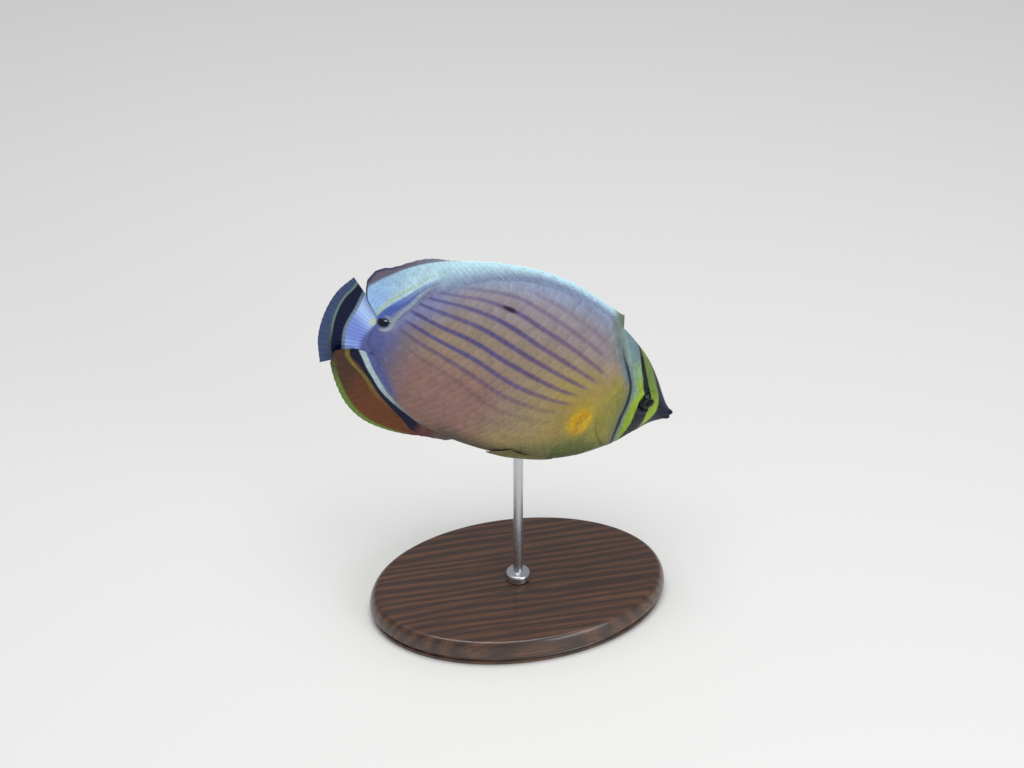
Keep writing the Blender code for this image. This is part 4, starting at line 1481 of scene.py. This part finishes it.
def body_ground(n, s, h, up):
    """The ground colour of the trunk."""
    belly = n.mix(n.ramp(s, 0.48, 0.36), BELLY_TAN, BELLY_OLIVE)
    colour = n.mix(n.ramp(up, 0.04, 0.34), belly, FLANK_TAN)
    colour = n.mix(n.all(n.ramp(s, 0.50, 0.70), n.ramp(up, 0.62, 0.34)), colour, REAR_MAUVE)
    colour = n.mix(n.ramp(up, 0.66, 0.92), colour, FLANK_LAVENDER)
    front = n.mix(n.ramp(s, 0.38, 0.50), FRONT_YELLOW, FRONT_OCHRE)
    colour = n.mix(n.all(n.ramp(s, 0.62, 0.40), n.ramp(h, 0.21, 0.05)), colour, front)
    slope = n.sum("ADD", h, n.sum("MULTIPLY", s, 0.55))
    low = n.all(n.ramp(slope, 0.135, 0.010), n.ramp(s, 0.56, 0.42))
    colour = n.mix(low, colour, BELLY_OLIVE)
    # Painted shade: the lowest edge of the trunk, ahead of the rear, is darkened as if shadow fell under
    # the body.
    colour = n.mix(n.all(n.ramp(up, 0.14, 0.02), n.ramp(s, 0.80, 0.66)), colour, BELLY_PAINTED_SHADE)
    # Painted sheen: the top of the back is painted pale, partly its own colour and partly light from
    # above.
    colour = n.mix(n.ramp(up, 0.90, 1.00), colour, BACK_PALE_AND_SHEEN)
    colour = n.mix(n.all(n.ramp(s, 0.36, 0.28), n.ramp(up, 0.80, 0.90)), colour, NAPE_OLIVE)
    colour = n.mix(n.all(n.ramp(s, 0.36, 0.28), n.ramp(up, 0.96, 1.00)), colour, NAPE_PALE)
    violet = n.sum("MULTIPLY", n.ramp(s, 0.84, 0.97), 0.75)
    colour = n.mix(violet, colour, REAR_VIOLET)
    stalk = n.all(n.ramp(s, 0.92, 1.00), n.ramp(up, 0.95, 0.60))
    strip = n.behind(s, h, BLUE_STRIP_LINE)
    stalk = n.sum("MAXIMUM", stalk, n.all(n.ramp(strip, -0.030, 0.016), n.ramp(s, 0.84, 0.92)))
    upper = n.all(n.ramp(s, 0.80, 0.92), n.ramp(up, 0.66, 0.86))
    colour = n.mix(upper, colour, REAR_PALE)
    return n.mix(stalk, colour, REAR_BLUE)


def oval(n, s, h, middle, radii):
    """Distance from the middle of an oval, as a share of its radii."""
    x = n.sum("DIVIDE", n.sum("SUBTRACT", s, middle[0]), radii[0])
    y = n.sum("DIVIDE", n.sum("SUBTRACT", h, middle[1]), radii[1])
    return n.away(x, y)


def flank_lines(n, s, colour):
    """The violet lines and the black dash on one of them."""
    row, strength = n.pair("Rows")
    mask = n.all(n.ramp(n.off_whole(row), 0.26, 0.050), strength)
    violet = n.mix(n.ramp(s, 0.40, 0.85), LINE_FRONT, LINE_REAR)
    violet = n.mix(n.ramp(row, 2.6, 1.4), violet, LINE_LOW)
    colour = n.mix(mask, colour, violet)
    dash = n.ramp(oval(n, s, row, (0.683, 7.0), (0.027, 0.21)), 1.15, 0.40)
    return n.mix(dash, colour, DASH)


def head_markings(n, s, h, colour):
    """The bars and bands of the head over the ground."""
    behind_bar = n.behind(s, h, THIN_BAR_LINE)
    cheek = n.mix(n.ramp(behind_bar, 0.040, 0.004), CHEEK_OLIVE, CHEEK_SHADE)
    low = n.all(n.ramp(h, 0.19, 0.06), n.ramp(h, -0.15, -0.06))
    colour = n.mix(n.all(n.ramp(s, 0.330, 0.250), low), colour, cheek)
    high = n.all(n.ramp(behind_bar, 0.036, 0.010), n.ramp(h, 0.085, 0.145))
    colour = n.mix(high, colour, NAPE_SIDE)
    band = n.mix(n.ramp(h, 0.150, 0.205), BAND_GREEN, BAND_TOP)
    band = n.mix(n.ramp(behind_bar, -0.012, -0.036), BAND_CYAN, band)
    behind_eye_bar = n.behind(s, h, EYE_BAR_REAR)
    by_eye = n.all(n.ramp(behind_eye_bar, 0.034, 0.012), n.ramp(h, 0.155, 0.105))
    band = n.mix(n.sum("MAXIMUM", n.ramp(h, 0.115, 0.045), by_eye), band, BAND_LIME)
    band = n.mix(n.ramp(behind_bar, -0.022, -0.009), band, BAR_EDGE)
    colour = n.mix(n.ramp(behind_bar, 0.003, -0.006), colour, band)
    thin = n.all(n.line(behind_bar, 0.0028, 0.0050), n.ramp(h, 0.250, 0.15), n.ramp(h, -0.165, -0.105))
    colour = n.mix(thin, colour, THIN_BAR)
    colour = n.mix(n.ramp(behind_eye_bar, 0.004, -0.004), colour, BAR_BLACK)
    before_eye_bar = n.behind(s, h, EYE_BAR_FRONT)
    lime = n.mix(n.ramp(h, 0.050, 0.120), BAND_LIME, LIME_TOP)
    lime = n.mix(n.ramp(h, -0.020, -0.080), lime, LIME_LOW)
    colour = n.mix(n.ramp(before_eye_bar, 0.002, -0.003), colour, lime)
    before_lime = n.behind(s, h, LIME_FRONT)
    # Painted shade: the tip of the snout, ahead of the lime band, is painted dark navy as if it lay in
    # shadow.
    return n.mix(n.ramp(before_lime, 0.004, -0.006), colour, SNOUT_PAINTED_SHADE)


def body_colours(n):
    """The whole pattern of the body."""
    s, h = n.pair("Place")
    top, bottom = n.curve(s, BACK), n.curve(s, BELLY)
    up = n.sum("DIVIDE", n.sum("SUBTRACT", h, bottom), n.sum("SUBTRACT", top, bottom))
    colour = flank_lines(n, s, body_ground(n, s, h, up))
    halo = n.sum("MULTIPLY", n.ramp(oval(n, s, h, (0.334, -0.030), (0.052, 0.080)), 1.25, 0.45), 0.75)
    colour = n.mix(halo, colour, PATCH_YELLOW)
    patch = n.ramp(oval(n, s, h, (0.333, -0.040), (0.036, 0.048)), 1.25, 0.60)
    colour = n.mix(patch, colour, PATCH_ORANGE)
    colour = head_markings(n, s, h, colour)
    return [n.group(SPOT, Colour=colour)["Colour"]]


def spot_colours(n, colour):
    """The black spot on top of the tail stalk, its pale ring and the pale patch behind it."""
    s, h = n.pair("Place")
    ring = oval(n, s, h, (1.009, 0.078), (0.028, 0.022))
    ring = n.all(n.line(n.sum("SUBTRACT", ring, 1.0), 0.08, 0.16), n.ramp(s, 1.016, 1.006))
    colour = n.mix(n.sum("MULTIPLY", ring, 0.9), colour, SPOT_RING)
    colour = n.mix(n.ramp(oval(n, s, h, (1.036, 0.068), (0.010, 0.013)), 1.30, 0.50), colour, SPOT_PALE)
    spot = n.ramp(oval(n, s, h, (1.007, 0.078), (0.018, 0.014)), 1.15, 0.85)
    return [n.mix(spot, colour, BAR_BLACK)]


SPOT = group_of(
    "stalk_spot", [("Colour", "NodeSocketColor")], spot_colours, [("Colour", "NodeSocketColor")]
)
BODY = group_of("body_colours", [("Colour", "NodeSocketColor")], body_colours)

# %% [markdown]
# ## The colours of the fins
# On the back fin a pale panel lies behind a yellow line, a blue stripe and a whitish line that
# follow the rear of the body, and the margin is brown and lets light through. The belly fin has a
# cream line at its root, a black stripe, a gold line, an orange-brown panel and a yellow-green
# margin. The tail has a black bar between two yellow lines and a clear margin.

# %% Fin colours
DORSAL_PALE = paint(158, 194, 220)
DORSAL_LIGHT = paint(188, 220, 232)
DORSAL_LOW = paint(154, 190, 236)
FIN_BASE = paint(130, 144, 172)
MARGIN_FRONT = paint(124, 128, 146)
DORSAL_WHITE = paint(146, 162, 178)
DORSAL_BLUE = paint(74, 98, 172)
DORSAL_YELLOW = paint(172, 196, 182)
DORSAL_BROWN = paint(104, 94, 114)
DORSAL_EDGE = paint(202, 238, 250)
DORSAL_DARK = paint(50, 54, 90)
ANAL_ORANGE = paint(101, 57, 28)
ANAL_DARK = paint(72, 45, 32)
ANAL_BLACK = paint(0, 4, 42)
ANAL_CREAM = paint(172, 193, 196)
CREAM_FRONT = paint(110, 108, 112)
ANAL_GOLD = paint(114, 102, 46)
ANAL_LIME = paint(100, 128, 52)
LIME_DARK = paint(76, 86, 48)
ANAL_TIP = paint(92, 50, 50)
TAIL_PALE = paint(172, 200, 246)
TAIL_VIOLET = paint(120, 140, 212)
# Painted light for the lower part of the tail.
TAIL_LOW_PAINTED_LIGHT = paint(156, 182, 250)
TAIL_YELLOW = paint(104, 130, 118)
TAIL_INNER = paint(112, 132, 146)
TAIL_DIM = paint(58, 74, 60)
TAIL_BLACK = paint(0, 6, 48)
TAIL_CLEAR = paint(44, 64, 108)

DORSAL_BLUE_LINE = [
    (0.060, 1.027), (0.092, 1.017), (0.117, 1.007), (0.137, 0.995), (0.158, 0.979), (0.179, 0.964),
    (0.199, 0.952), (0.219, 0.940), (0.242, 0.921), (0.270, 0.896),
]
DORSAL_YELLOW_LINE = [
    (0.060, 1.050), (0.097, 1.035), (0.124, 1.030), (0.151, 1.017), (0.174, 1.002), (0.195, 0.986),
    (0.213, 0.970), (0.234, 0.954), (0.255, 0.939), (0.285, 0.907), (0.320, 0.870),
]
DORSAL_WHITE_LINE = [
    (0.060, 0.986), (0.076, 0.980), (0.099, 0.978), (0.120, 0.972), (0.138, 0.963), (0.155, 0.954),
    (0.176, 0.946), (0.196, 0.939), (0.210, 0.932), (0.240, 0.915),
]
DORSAL_PANEL_EDGE = [
    (0.160, 1.104), (0.186, 1.091), (0.215, 1.070), (0.242, 1.042), (0.264, 1.017), (0.298, 0.963),
    (0.323, 0.915), (0.345, 0.860),
]
ANAL_CREAM_LINE = [
    (-0.230, 0.742), (-0.217, 0.770), (-0.203, 0.801), (-0.186, 0.840), (-0.165, 0.881), (-0.139, 0.920),
    (-0.111, 0.951), (-0.083, 0.981), (-0.053, 1.007), (-0.027, 1.028),
]
ANAL_BLACK_LINE = [
    (-0.262, 0.762), (-0.248, 0.792), (-0.235, 0.808), (-0.215, 0.839), (-0.194, 0.873), (-0.173, 0.906),
    (-0.151, 0.935), (-0.125, 0.966), (-0.101, 0.994), (-0.074, 1.027), (-0.048, 1.064),
]
ANAL_GOLD_LINE = [
    (-0.212, 0.845), (-0.191, 0.886), (-0.155, 0.942), (-0.127, 0.972), (-0.107, 0.998), (-0.091, 1.023),
    (-0.073, 1.048), (-0.054, 1.067),
]
STALK_END_LINE = [
    (-0.020, 1.040), (-0.003, 1.043), (0.021, 1.040), (0.042, 1.033), (0.062, 1.029), (0.089, 1.031),
]
TAIL_BAR_LINE = [
    (-0.061, 1.084), (-0.020, 1.097), (0.014, 1.105), (0.050, 1.105), (0.093, 1.100), (0.135, 1.099),
]
TAIL_YELLOW_LINE = [
    (-0.086, 1.098), (-0.061, 1.117), (-0.008, 1.133), (0.048, 1.143), (0.110, 1.140), (0.160, 1.124),
]


def dorsal_colours(n):
    """The pattern of the back fin, and how solid it is."""
    s, h = n.pair("Place")
    ray, v = n.pair("Rays")
    rear = n.ramp(s, 0.86, 0.94)
    inner_end = n.spread(s, 0.62, 0.86, 0.52, 0.0)
    outer_end = n.spread(s, 0.62, 0.86, 0.98, 1.05)
    colour = n.mix(n.ramp(v, inner_end, outer_end), FIN_BASE, DORSAL_EDGE)
    colour = n.mix(n.all(n.ramp(ray, 1.3, 0.3), n.ramp(v, 0.2, 0.5)), colour, NAPE_OLIVE)
    panel = n.mix(n.ramp(s, 1.06, 0.94), DORSAL_PALE, DORSAL_LIGHT)
    panel = n.mix(n.all(n.ramp(h, 0.24, 0.15), n.ramp(s, 1.00, 1.05)), panel, DORSAL_LOW)
    colour = n.mix(rear, colour, panel)
    edge = n.behind(s, h, DORSAL_PANEL_EDGE)
    blue = n.behind(s, h, DORSAL_BLUE_LINE)
    yellow = n.behind(s, h, DORSAL_YELLOW_LINE)
    white = n.behind(s, h, DORSAL_WHITE_LINE)
    inner = n.all(n.ramp(blue, 0.004, -0.008), n.ramp(s, 0.84, 0.92), n.ramp(h, 0.280, 0.220))
    colour = n.mix(inner, colour, REAR_PALE)
    fading = n.all(n.ramp(s, 0.84, 0.91), n.spread(h, 0.19, 0.27, 1.0, 0.3))
    colour = n.mix(n.all(n.line(yellow, 0.003, 0.010), fading), colour, DORSAL_YELLOW)
    soft = n.between(1.0, 0.50, n.ramp(h, 0.12, 0.24))
    narrower = n.sum("MULTIPLY", blue, n.spread(h, 0.16, 0.23, 1.0, 1.7))
    band = n.all(n.line(narrower, 0.012, 0.012), n.ramp(h, 0.275, 0.235), soft)
    colour = n.mix(band, colour, DORSAL_BLUE)
    colour = n.mix(n.all(n.line(white, 0.003, 0.007), n.ramp(h, 0.265, 0.210)), colour, DORSAL_WHITE)
    margin = n.all(n.ramp(edge, -0.008, 0.008), n.ramp(h, 0.165, 0.195))
    colour = n.mix(margin, colour, n.mix(n.ramp(s, 1.03, 0.93), DORSAL_BROWN, MARGIN_FRONT))
    corner = n.all(n.ramp(s, 1.090, 1.102), n.ramp(h, 0.19, 0.20))
    dark = n.sum("MAXIMUM", n.ramp(v, 0.94, 0.985), corner)
    colour = n.mix(n.all(dark, n.ramp(ray, 26.0, 29.0)), colour, DORSAL_DARK)
    return [n.group(SPOT, Colour=colour)["Colour"], n.between(1.0, 0.86, margin)]


def anal_colours(n):
    """The pattern of the belly fin, and how solid it is."""
    s, h = n.pair("Place")
    ray, v = n.pair("Rays")
    colour = n.mix(n.ramp(s, 0.96, 1.06), ANAL_ORANGE, ANAL_DARK)
    colour = n.mix(n.all(n.ramp(s, 0.800, 0.770), n.ramp(v, 0.0, 0.5)), colour, ANAL_TIP)
    colour = n.mix(n.ramp(s, 0.730, 0.700), colour, BELLY_EDGE)
    cream = n.behind(s, h, ANAL_CREAM_LINE)
    gold = n.behind(s, h, ANAL_GOLD_LINE)
    black = n.behind(s, h, ANAL_BLACK_LINE)
    colour = n.mix(n.all(n.line(gold, 0.004, 0.009), n.ramp(s, 0.84, 1.00)), colour, ANAL_GOLD)
    colour = n.mix(n.all(n.ramp(black, 0.003, -0.004), n.ramp(s, 0.75, 0.785)), colour, ANAL_BLACK)
    line = n.mix(n.ramp(s, 0.97, 0.80), ANAL_CREAM, CREAM_FRONT)
    colour = n.mix(n.all(n.ramp(cream, 0.017, 0.010), n.ramp(s, 0.73, 0.79)), colour, line)
    strip = n.mix(n.ramp(s, 0.96, 0.86), REAR_BLUE, REAR_VIOLET)
    colour = n.mix(n.all(n.ramp(cream, -0.004, -0.012), n.ramp(s, 0.78, 0.86)), colour, strip)
    margin = n.all(n.ramp(v, 0.86, 0.93), n.ramp(ray, 3.0, 6.5), n.ramp(ray, 20.8, 19.6))
    lime = n.mix(n.ramp(h, -0.16, -0.10), ANAL_LIME, LIME_DARK)
    return [n.mix(margin, colour, lime), n.between(1.0, 0.90, n.ramp(v, 0.90, 1.0))]


def tail_colours(n):
    """The pattern of the tail fin, and how solid it is."""
    s, h = n.pair("Place")
    ray, _ = n.pair("Rays")
    high = n.sum("SUBTRACT", h, n.sum("MULTIPLY", n.sum("SUBTRACT", s, 1.06), 0.6))
    colour = n.mix(n.ramp(high, 0.030, 0.085), TAIL_VIOLET, TAIL_PALE)
    # Painted light: the lower part of the tail is painted lighter, to make up for the shade that the
    # belly fin casts on it.
    colour = n.mix(n.ramp(h, 0.0, -0.035), colour, TAIL_LOW_PAINTED_LIGHT)
    stalk = n.behind(s, h, STALK_END_LINE)
    colour = n.mix(n.ramp(stalk, 0.010, -0.008), colour, REAR_BLUE)
    bar = n.behind(s, h, TAIL_BAR_LINE)
    outer = n.behind(s, h, TAIL_YELLOW_LINE)
    inner = n.all(n.line(n.sum("ADD", bar, 0.005), 0.002, 0.006), n.ramp(s, 1.04, 1.07))
    colour = n.mix(inner, colour, TAIL_INNER)
    colour = n.mix(n.ramp(bar, -0.004, 0.002), colour, TAIL_BLACK)
    edge = n.mix(n.ramp(h, 0.04, -0.06), TAIL_YELLOW, TAIL_DIM)
    colour = n.mix(n.ramp(outer, -0.005, 0.0), colour, edge)
    clear = n.ramp(outer, 0.001, 0.007)
    colour = n.mix(clear, colour, TAIL_CLEAR)
    web = n.between(0.80, 1.0, n.ramp(n.off_whole(ray), 0.24, 0.34))
    return [n.group(SPOT, Colour=colour)["Colour"], n.between(1.0, 0.80, n.all(clear, web))]


FIN_OUTPUTS = [("Colour", "NodeSocketColor"), ("Solid", "NodeSocketFloat")]
DORSAL = group_of("dorsal_colours", FIN_OUTPUTS, dorsal_colours)
ANAL = group_of("anal_colours", FIN_OUTPUTS, anal_colours)
TAIL = group_of("tail_colours", FIN_OUTPUTS, tail_colours)

# %% [markdown]
# ## Skin, scales and fins as materials
# Wet skin has a soft gloss under a clear film of slime, which is what a coat layer does. Each scale
# is a little paler at its free edge and a little lighter or darker than the next. The fins share
# one recipe: the colours of their group, rays that show as ridges, and a margin that lets light
# through.

# %% Fish materials
SCALE_RIM = 0.14
SCALE_DARK = 0.86
JOINTS_OF_RAY = 260.0


def new_material(name, **sockets):
    """A material with a Principled shader, its plain sockets set."""
    material = bpy.data.materials.new(name)
    material.use_nodes = True
    shader = material.node_tree.nodes["Principled BSDF"]
    for key, value in sockets.items():
        shader.inputs[key.replace("_", " ")].default_value = value
    return material, Nodes(material.node_tree), shader


def link(n, value, shader, name):
    """Links a value to one of the shader's sockets."""
    n.tree.links.new(value, shader.inputs[name])


def fine_noise(n, scale, detail):
    """Noise in the object's own coordinates, scaled apart along each axis."""
    place = n.add("ShaderNodeTexCoord", {}).outputs["Object"]
    spot = n.sum_vector("MULTIPLY", place, scale)
    return [n.add("ShaderNodeTexNoise", {"Vector": spot, "Scale": 1.0, "Detail": detail}).outputs[0]]


def ray_ridges(n):
    """Height of the rays and their joints, from the ray numbers in the UV map."""
    ray, v = n.pair("Rays")
    joints = n.sum("SINE", n.sum("MULTIPLY", v, JOINTS_OF_RAY))
    on_ray = n.ramp(n.off_whole(ray), 0.26, 0.12)
    return [n.sum("ADD", on_ray, n.all(on_ray, n.sum("MULTIPLY", joints, 0.12)))]


def shaded(n, colour, share):
    """The colour made so much lighter or darker."""
    grey = n.add("ShaderNodeCombineXYZ", {0: share, 1: share, 2: share}).outputs[0]
    return n.sum_vector("MULTIPLY", colour, grey)


def scale_tints(n, colour):
    """A paler rim on each scale, and each a little lighter or darker than the next."""
    along, draw = n.pair("Tile")
    rim = n.sum("MULTIPLY", n.ramp(along, 0.62, 0.98), SCALE_RIM)
    return [shaded(n, colour, n.sum("ADD", rim, n.between(1.0, SCALE_DARK, draw)))]


NOISE = group_of(
    "fine_noise", [("Value", "NodeSocketFloat")], fine_noise,
    [("Scale", "NodeSocketVector"), ("Detail", "NodeSocketFloat")],
)
RIDGES = group_of("ray_ridges", [("Height", "NodeSocketFloat")], ray_ridges)
TINTS = group_of(
    "scale_tints", [("Colour", "NodeSocketColor")], scale_tints, [("Colour", "NodeSocketColor")]
)


def noise(n, *scale, detail=3.0):
    """Fine noise of so many grains to the metre, along one or all of the axes."""
    return n.group(NOISE, Scale=scale * 3 if len(scale) == 1 else scale, Detail=detail)[0]


def bump(n, shader, height, distance, strength):
    """Feeds a height to the shader's normal."""
    node = n.add("ShaderNodeBump", {"Height": height, "Distance": distance, "Strength": strength})
    link(n, node.outputs[0], shader, "Normal")


def skin_material(name, pattern, scaled):
    """Wet skin with a pattern, plain or on scales."""
    material, n, shader = new_material(
        name, Roughness=0.44, Coat_Weight=0.08, Coat_Roughness=0.20, Specular_IOR_Level=0.20
    )
    mottle = n.between(1.03, 0.90, n.ramp(noise(n, 420.0), 0.30, 0.70))
    colour = shaded(n, n.group(pattern)["Colour"], mottle)
    if scaled:
        colour = n.group(TINTS, Colour=colour)["Colour"]
    link(n, colour, shader, "Base Color")
    bump(n, shader, noise(n, 2600.0), 0.00004, 0.5)
    return material


def fin_material(name, pattern, web_shade, ridge):
    """A fin with ridges on its rays, the web between them so much darker."""
    material, n, shader = new_material(
        name, Roughness=0.42, Coat_Weight=0.06, Coat_Roughness=0.20, Specular_IOR_Level=0.20
    )
    colour, solid = n.group(pattern)
    height = n.group(RIDGES)["Height"]
    shade = n.between(1.0, web_shade, n.ramp(height, 1.0, 0.2))
    link(n, shaded(n, colour, shade), shader, "Base Color")
    link(n, solid, shader, "Alpha")
    bump(n, shader, height, 0.00005, ridge)
    return material


def membrane_material(name, colour, root_colour, web_alpha, ray_alpha, root_end):
    """Clear skin on fine rays, coloured at the root."""
    material, n, shader = new_material(
        name, Roughness=0.28, Coat_Weight=0.2, Coat_Roughness=0.15, Specular_IOR_Level=0.4
    )
    _, v = n.pair("Rays")
    height = n.group(RIDGES)["Height"]
    root = n.ramp(v, root_end, 0.0)
    link(n, n.mix(root, colour, root_colour), shader, "Base Color")
    cover = n.sum("MAXIMUM", n.between(web_alpha, ray_alpha, height), root)
    link(n, cover, shader, "Alpha")
    bump(n, shader, height, 0.00005, 0.6)
    return material


body_skin = skin_material("wet_skin", BODY, False)
body_scales = skin_material("wet_scales", BODY, True)
dorsal_scales = skin_material("dorsal_scales", DORSAL, True)
anal_scales = skin_material("anal_scales", ANAL, True)
dorsal_skin = fin_material("dorsal_skin", DORSAL, 0.92, 0.5)
anal_skin = fin_material("anal_skin", ANAL, 0.86, 0.5)
tail_skin = fin_material("tail_skin", TAIL, 0.98, 0.2)
clear_skin = membrane_material(
    "clear_fin_skin", paint(160, 140, 95), paint(222, 176, 8), 0.02, 0.12, 0.15
)
belly_skin = membrane_material(
    "belly_fin_skin", paint(106, 104, 58), paint(90, 90, 62), 0.80, 0.95, 0.30
)

# %% [markdown]
# ## Eyes as a material
# The black bar of the head runs on across the iris, which hides the eye from a hunter. So the iris
# takes the body's own pattern, a little darker, with a thin dull gold ring round the black pupil.
# The clear front is a thin coat, as smooth as glass.

# %% Eye material
PUPIL_SHARE = 0.42
RING_SHARE = 0.47
EYE_BLACK = paint(4, 4, 7)
RING_GOLD = paint(74, 70, 40)
IRIS_SHADE = paint(24, 28, 22)


def eye_material():
    """Black pupil, gold ring and an iris in the body's pattern under a clear front."""
    material, n, shader = new_material(
        "fish_eye", Roughness=0.45, Coat_Weight=0.35, Coat_Roughness=0.03, Specular_IOR_Level=0.0
    )
    away = n.away(*n.pair("Eye"))
    fleck = n.ramp(noise(n, 1500.0), 0.35, 0.70)
    shade = n.sum("ADD", n.sum("MULTIPLY", fleck, 0.16), 0.14)
    colour = n.mix(shade, n.group(BODY)["Colour"], IRIS_SHADE)
    colour = n.mix(n.line(n.sum("SUBTRACT", away, RING_SHARE), 0.008, 0.030), colour, RING_GOLD)
    colour = n.mix(n.ramp(away, PUPIL_SHARE + 0.02, PUPIL_SHARE - 0.01), colour, EYE_BLACK)
    link(n, colour, shader, "Base Color")
    return material


eye_skin = eye_material()

# %% [markdown]
# ## Wood, steel and floor
# The wood is dark stained and varnished. Its grain is a wave, bent by noise and stretched along the
# foot. The steel is brushed round its length, so fine noise stretched that way changes its
# roughness.

# %% Stand materials
WOOD_DARK = paint(48, 28, 18)
WOOD_LIGHT = paint(96, 60, 36)
STEEL = paint(196, 198, 202)
FLOOR = paint(226, 226, 224)


def wood_material():
    """Dark varnished wood with a long grain."""
    material, n, shader = new_material("stained_wood", Coat_Weight=0.5, Coat_Roughness=0.12)
    bend = noise(n, 9.0, 40.0, 40.0, detail=4.0)
    place = n.add("ShaderNodeTexCoord", {}).outputs["Object"]
    wave = n.add("ShaderNodeTexWave", {
        "Vector": n.sum_vector("MULTIPLY", place, (14.0, 120.0, 120.0)), "Scale": 0.8,
        "Distortion": 7.0, "Detail": 4.0, "Detail Scale": 1.2,
        "Phase Offset": n.sum("MULTIPLY", bend, 6.0),
    }, bands_direction="Y").outputs[1]
    pores = noise(n, 60.0, 1600.0, 1600.0, detail=4.0)
    share = n.sum("MULTIPLY", wave, n.ramp(pores, 0.25, 0.65))
    link(n, n.mix(share, WOOD_DARK, WOOD_LIGHT), shader, "Base Color")
    link(n, n.spread(pores, 0.3, 0.7, 0.50, 0.34), shader, "Roughness")
    bump(n, shader, pores, 0.00006, 0.4)
    return material


def steel_material():
    """Steel brushed round the rod."""
    material, n, shader = new_material("brushed_rod", Base_Color=STEEL, Metallic=1.0)
    hair = noise(n, 300.0, 300.0, 9000.0, detail=2.0)
    link(n, n.spread(hair, 0.3, 0.7, 0.24, 0.40), shader, "Roughness")
    bump(n, shader, hair, 0.00001, 0.3)
    return material


def floor_material():
    """Pale matt floor."""
    return new_material("pale_floor", Base_Color=FLOOR, Roughness=0.7)[0]


stained_wood, brushed_rod, pale_floor = wood_material(), steel_material(), floor_material()
FINISHES = [
    (body_skin, (skin,)), (body_scales, (coat_left, coat_right, coat_head)),
    (dorsal_skin, (dorsal,)), (dorsal_scales, (dorsal_coat,)), (anal_skin, (anal,)),
    (anal_scales, (anal_coat,)), (tail_skin, (caudal,)), (clear_skin, side_fins),
    (belly_skin, belly_fins), (eye_skin, eyes), (stained_wood, (foot,)), (brushed_rod, (rod,)),
]
for material, made in FINISHES:
    for piece in made:
        piece.data.materials.clear()
        piece.data.materials.append(material)
print("materials:", len(FINISHES))

# %% [markdown]
# ## What goes with what
# Every piece rides on the one body and stands for its solids, which are hidden. Its finish was set
# above; each row also names a slot of the record, which nothing here reads.

# %% Pieces and slots
PLACES = [
    ((skin, coat_left, coat_right, coat_head), ("head", "trunk", "tail_stalk"), "skin"),
    ((eyes[0],), ("eye_left",), "eye"),
    ((eyes[1],), ("eye_right",), "eye"),
    ((dorsal, dorsal_coat), ("dorsal_fin",), "dorsal"),
    ((anal, anal_coat), ("anal_fin",), "anal"),
    ((caudal,), ("caudal_fin",), "caudal"),
    ((side_fins[0],), ("pectoral_fin_left",), "clear_fin"),
    ((side_fins[1],), ("pectoral_fin_right",), "clear_fin"),
    ((belly_fins[0],), ("pelvic_fin_left",), "pelvic"),
    ((belly_fins[1],), ("pelvic_fin_right",), "pelvic"),
    ((foot,), ("stand_base",), "wood"),
    ((rod,), ("stand_rod",), "steel"),
]
for made, nodes, slot in PLACES:
    for piece in made:
        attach(piece, "root")
        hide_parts(*nodes)
print("pieces:", sum(len(made) for made, _, _ in PLACES))

# %% [markdown]
# ## The floor
# A plain pale floor, which isn't part of the model.

# %% Floor
floor_shape = bmesh.new()
bmesh.ops.create_grid(floor_shape, x_segments=1, y_segments=1, size=4.0)
floor = object_from("floor", floor_shape)
floor.data.materials.append(pale_floor)
floor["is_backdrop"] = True

# %% [markdown]
# ## The box of the dressed model
# The dressed model should fill the same box as the solids. Its box is printed.

# %% Size
dressed_box = [list(corner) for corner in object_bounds()]
for name, low, high in zip("xyz", *dressed_box):
    print(name, "from", round(low * 1000, 1), "to", round(high * 1000, 1), "mm")
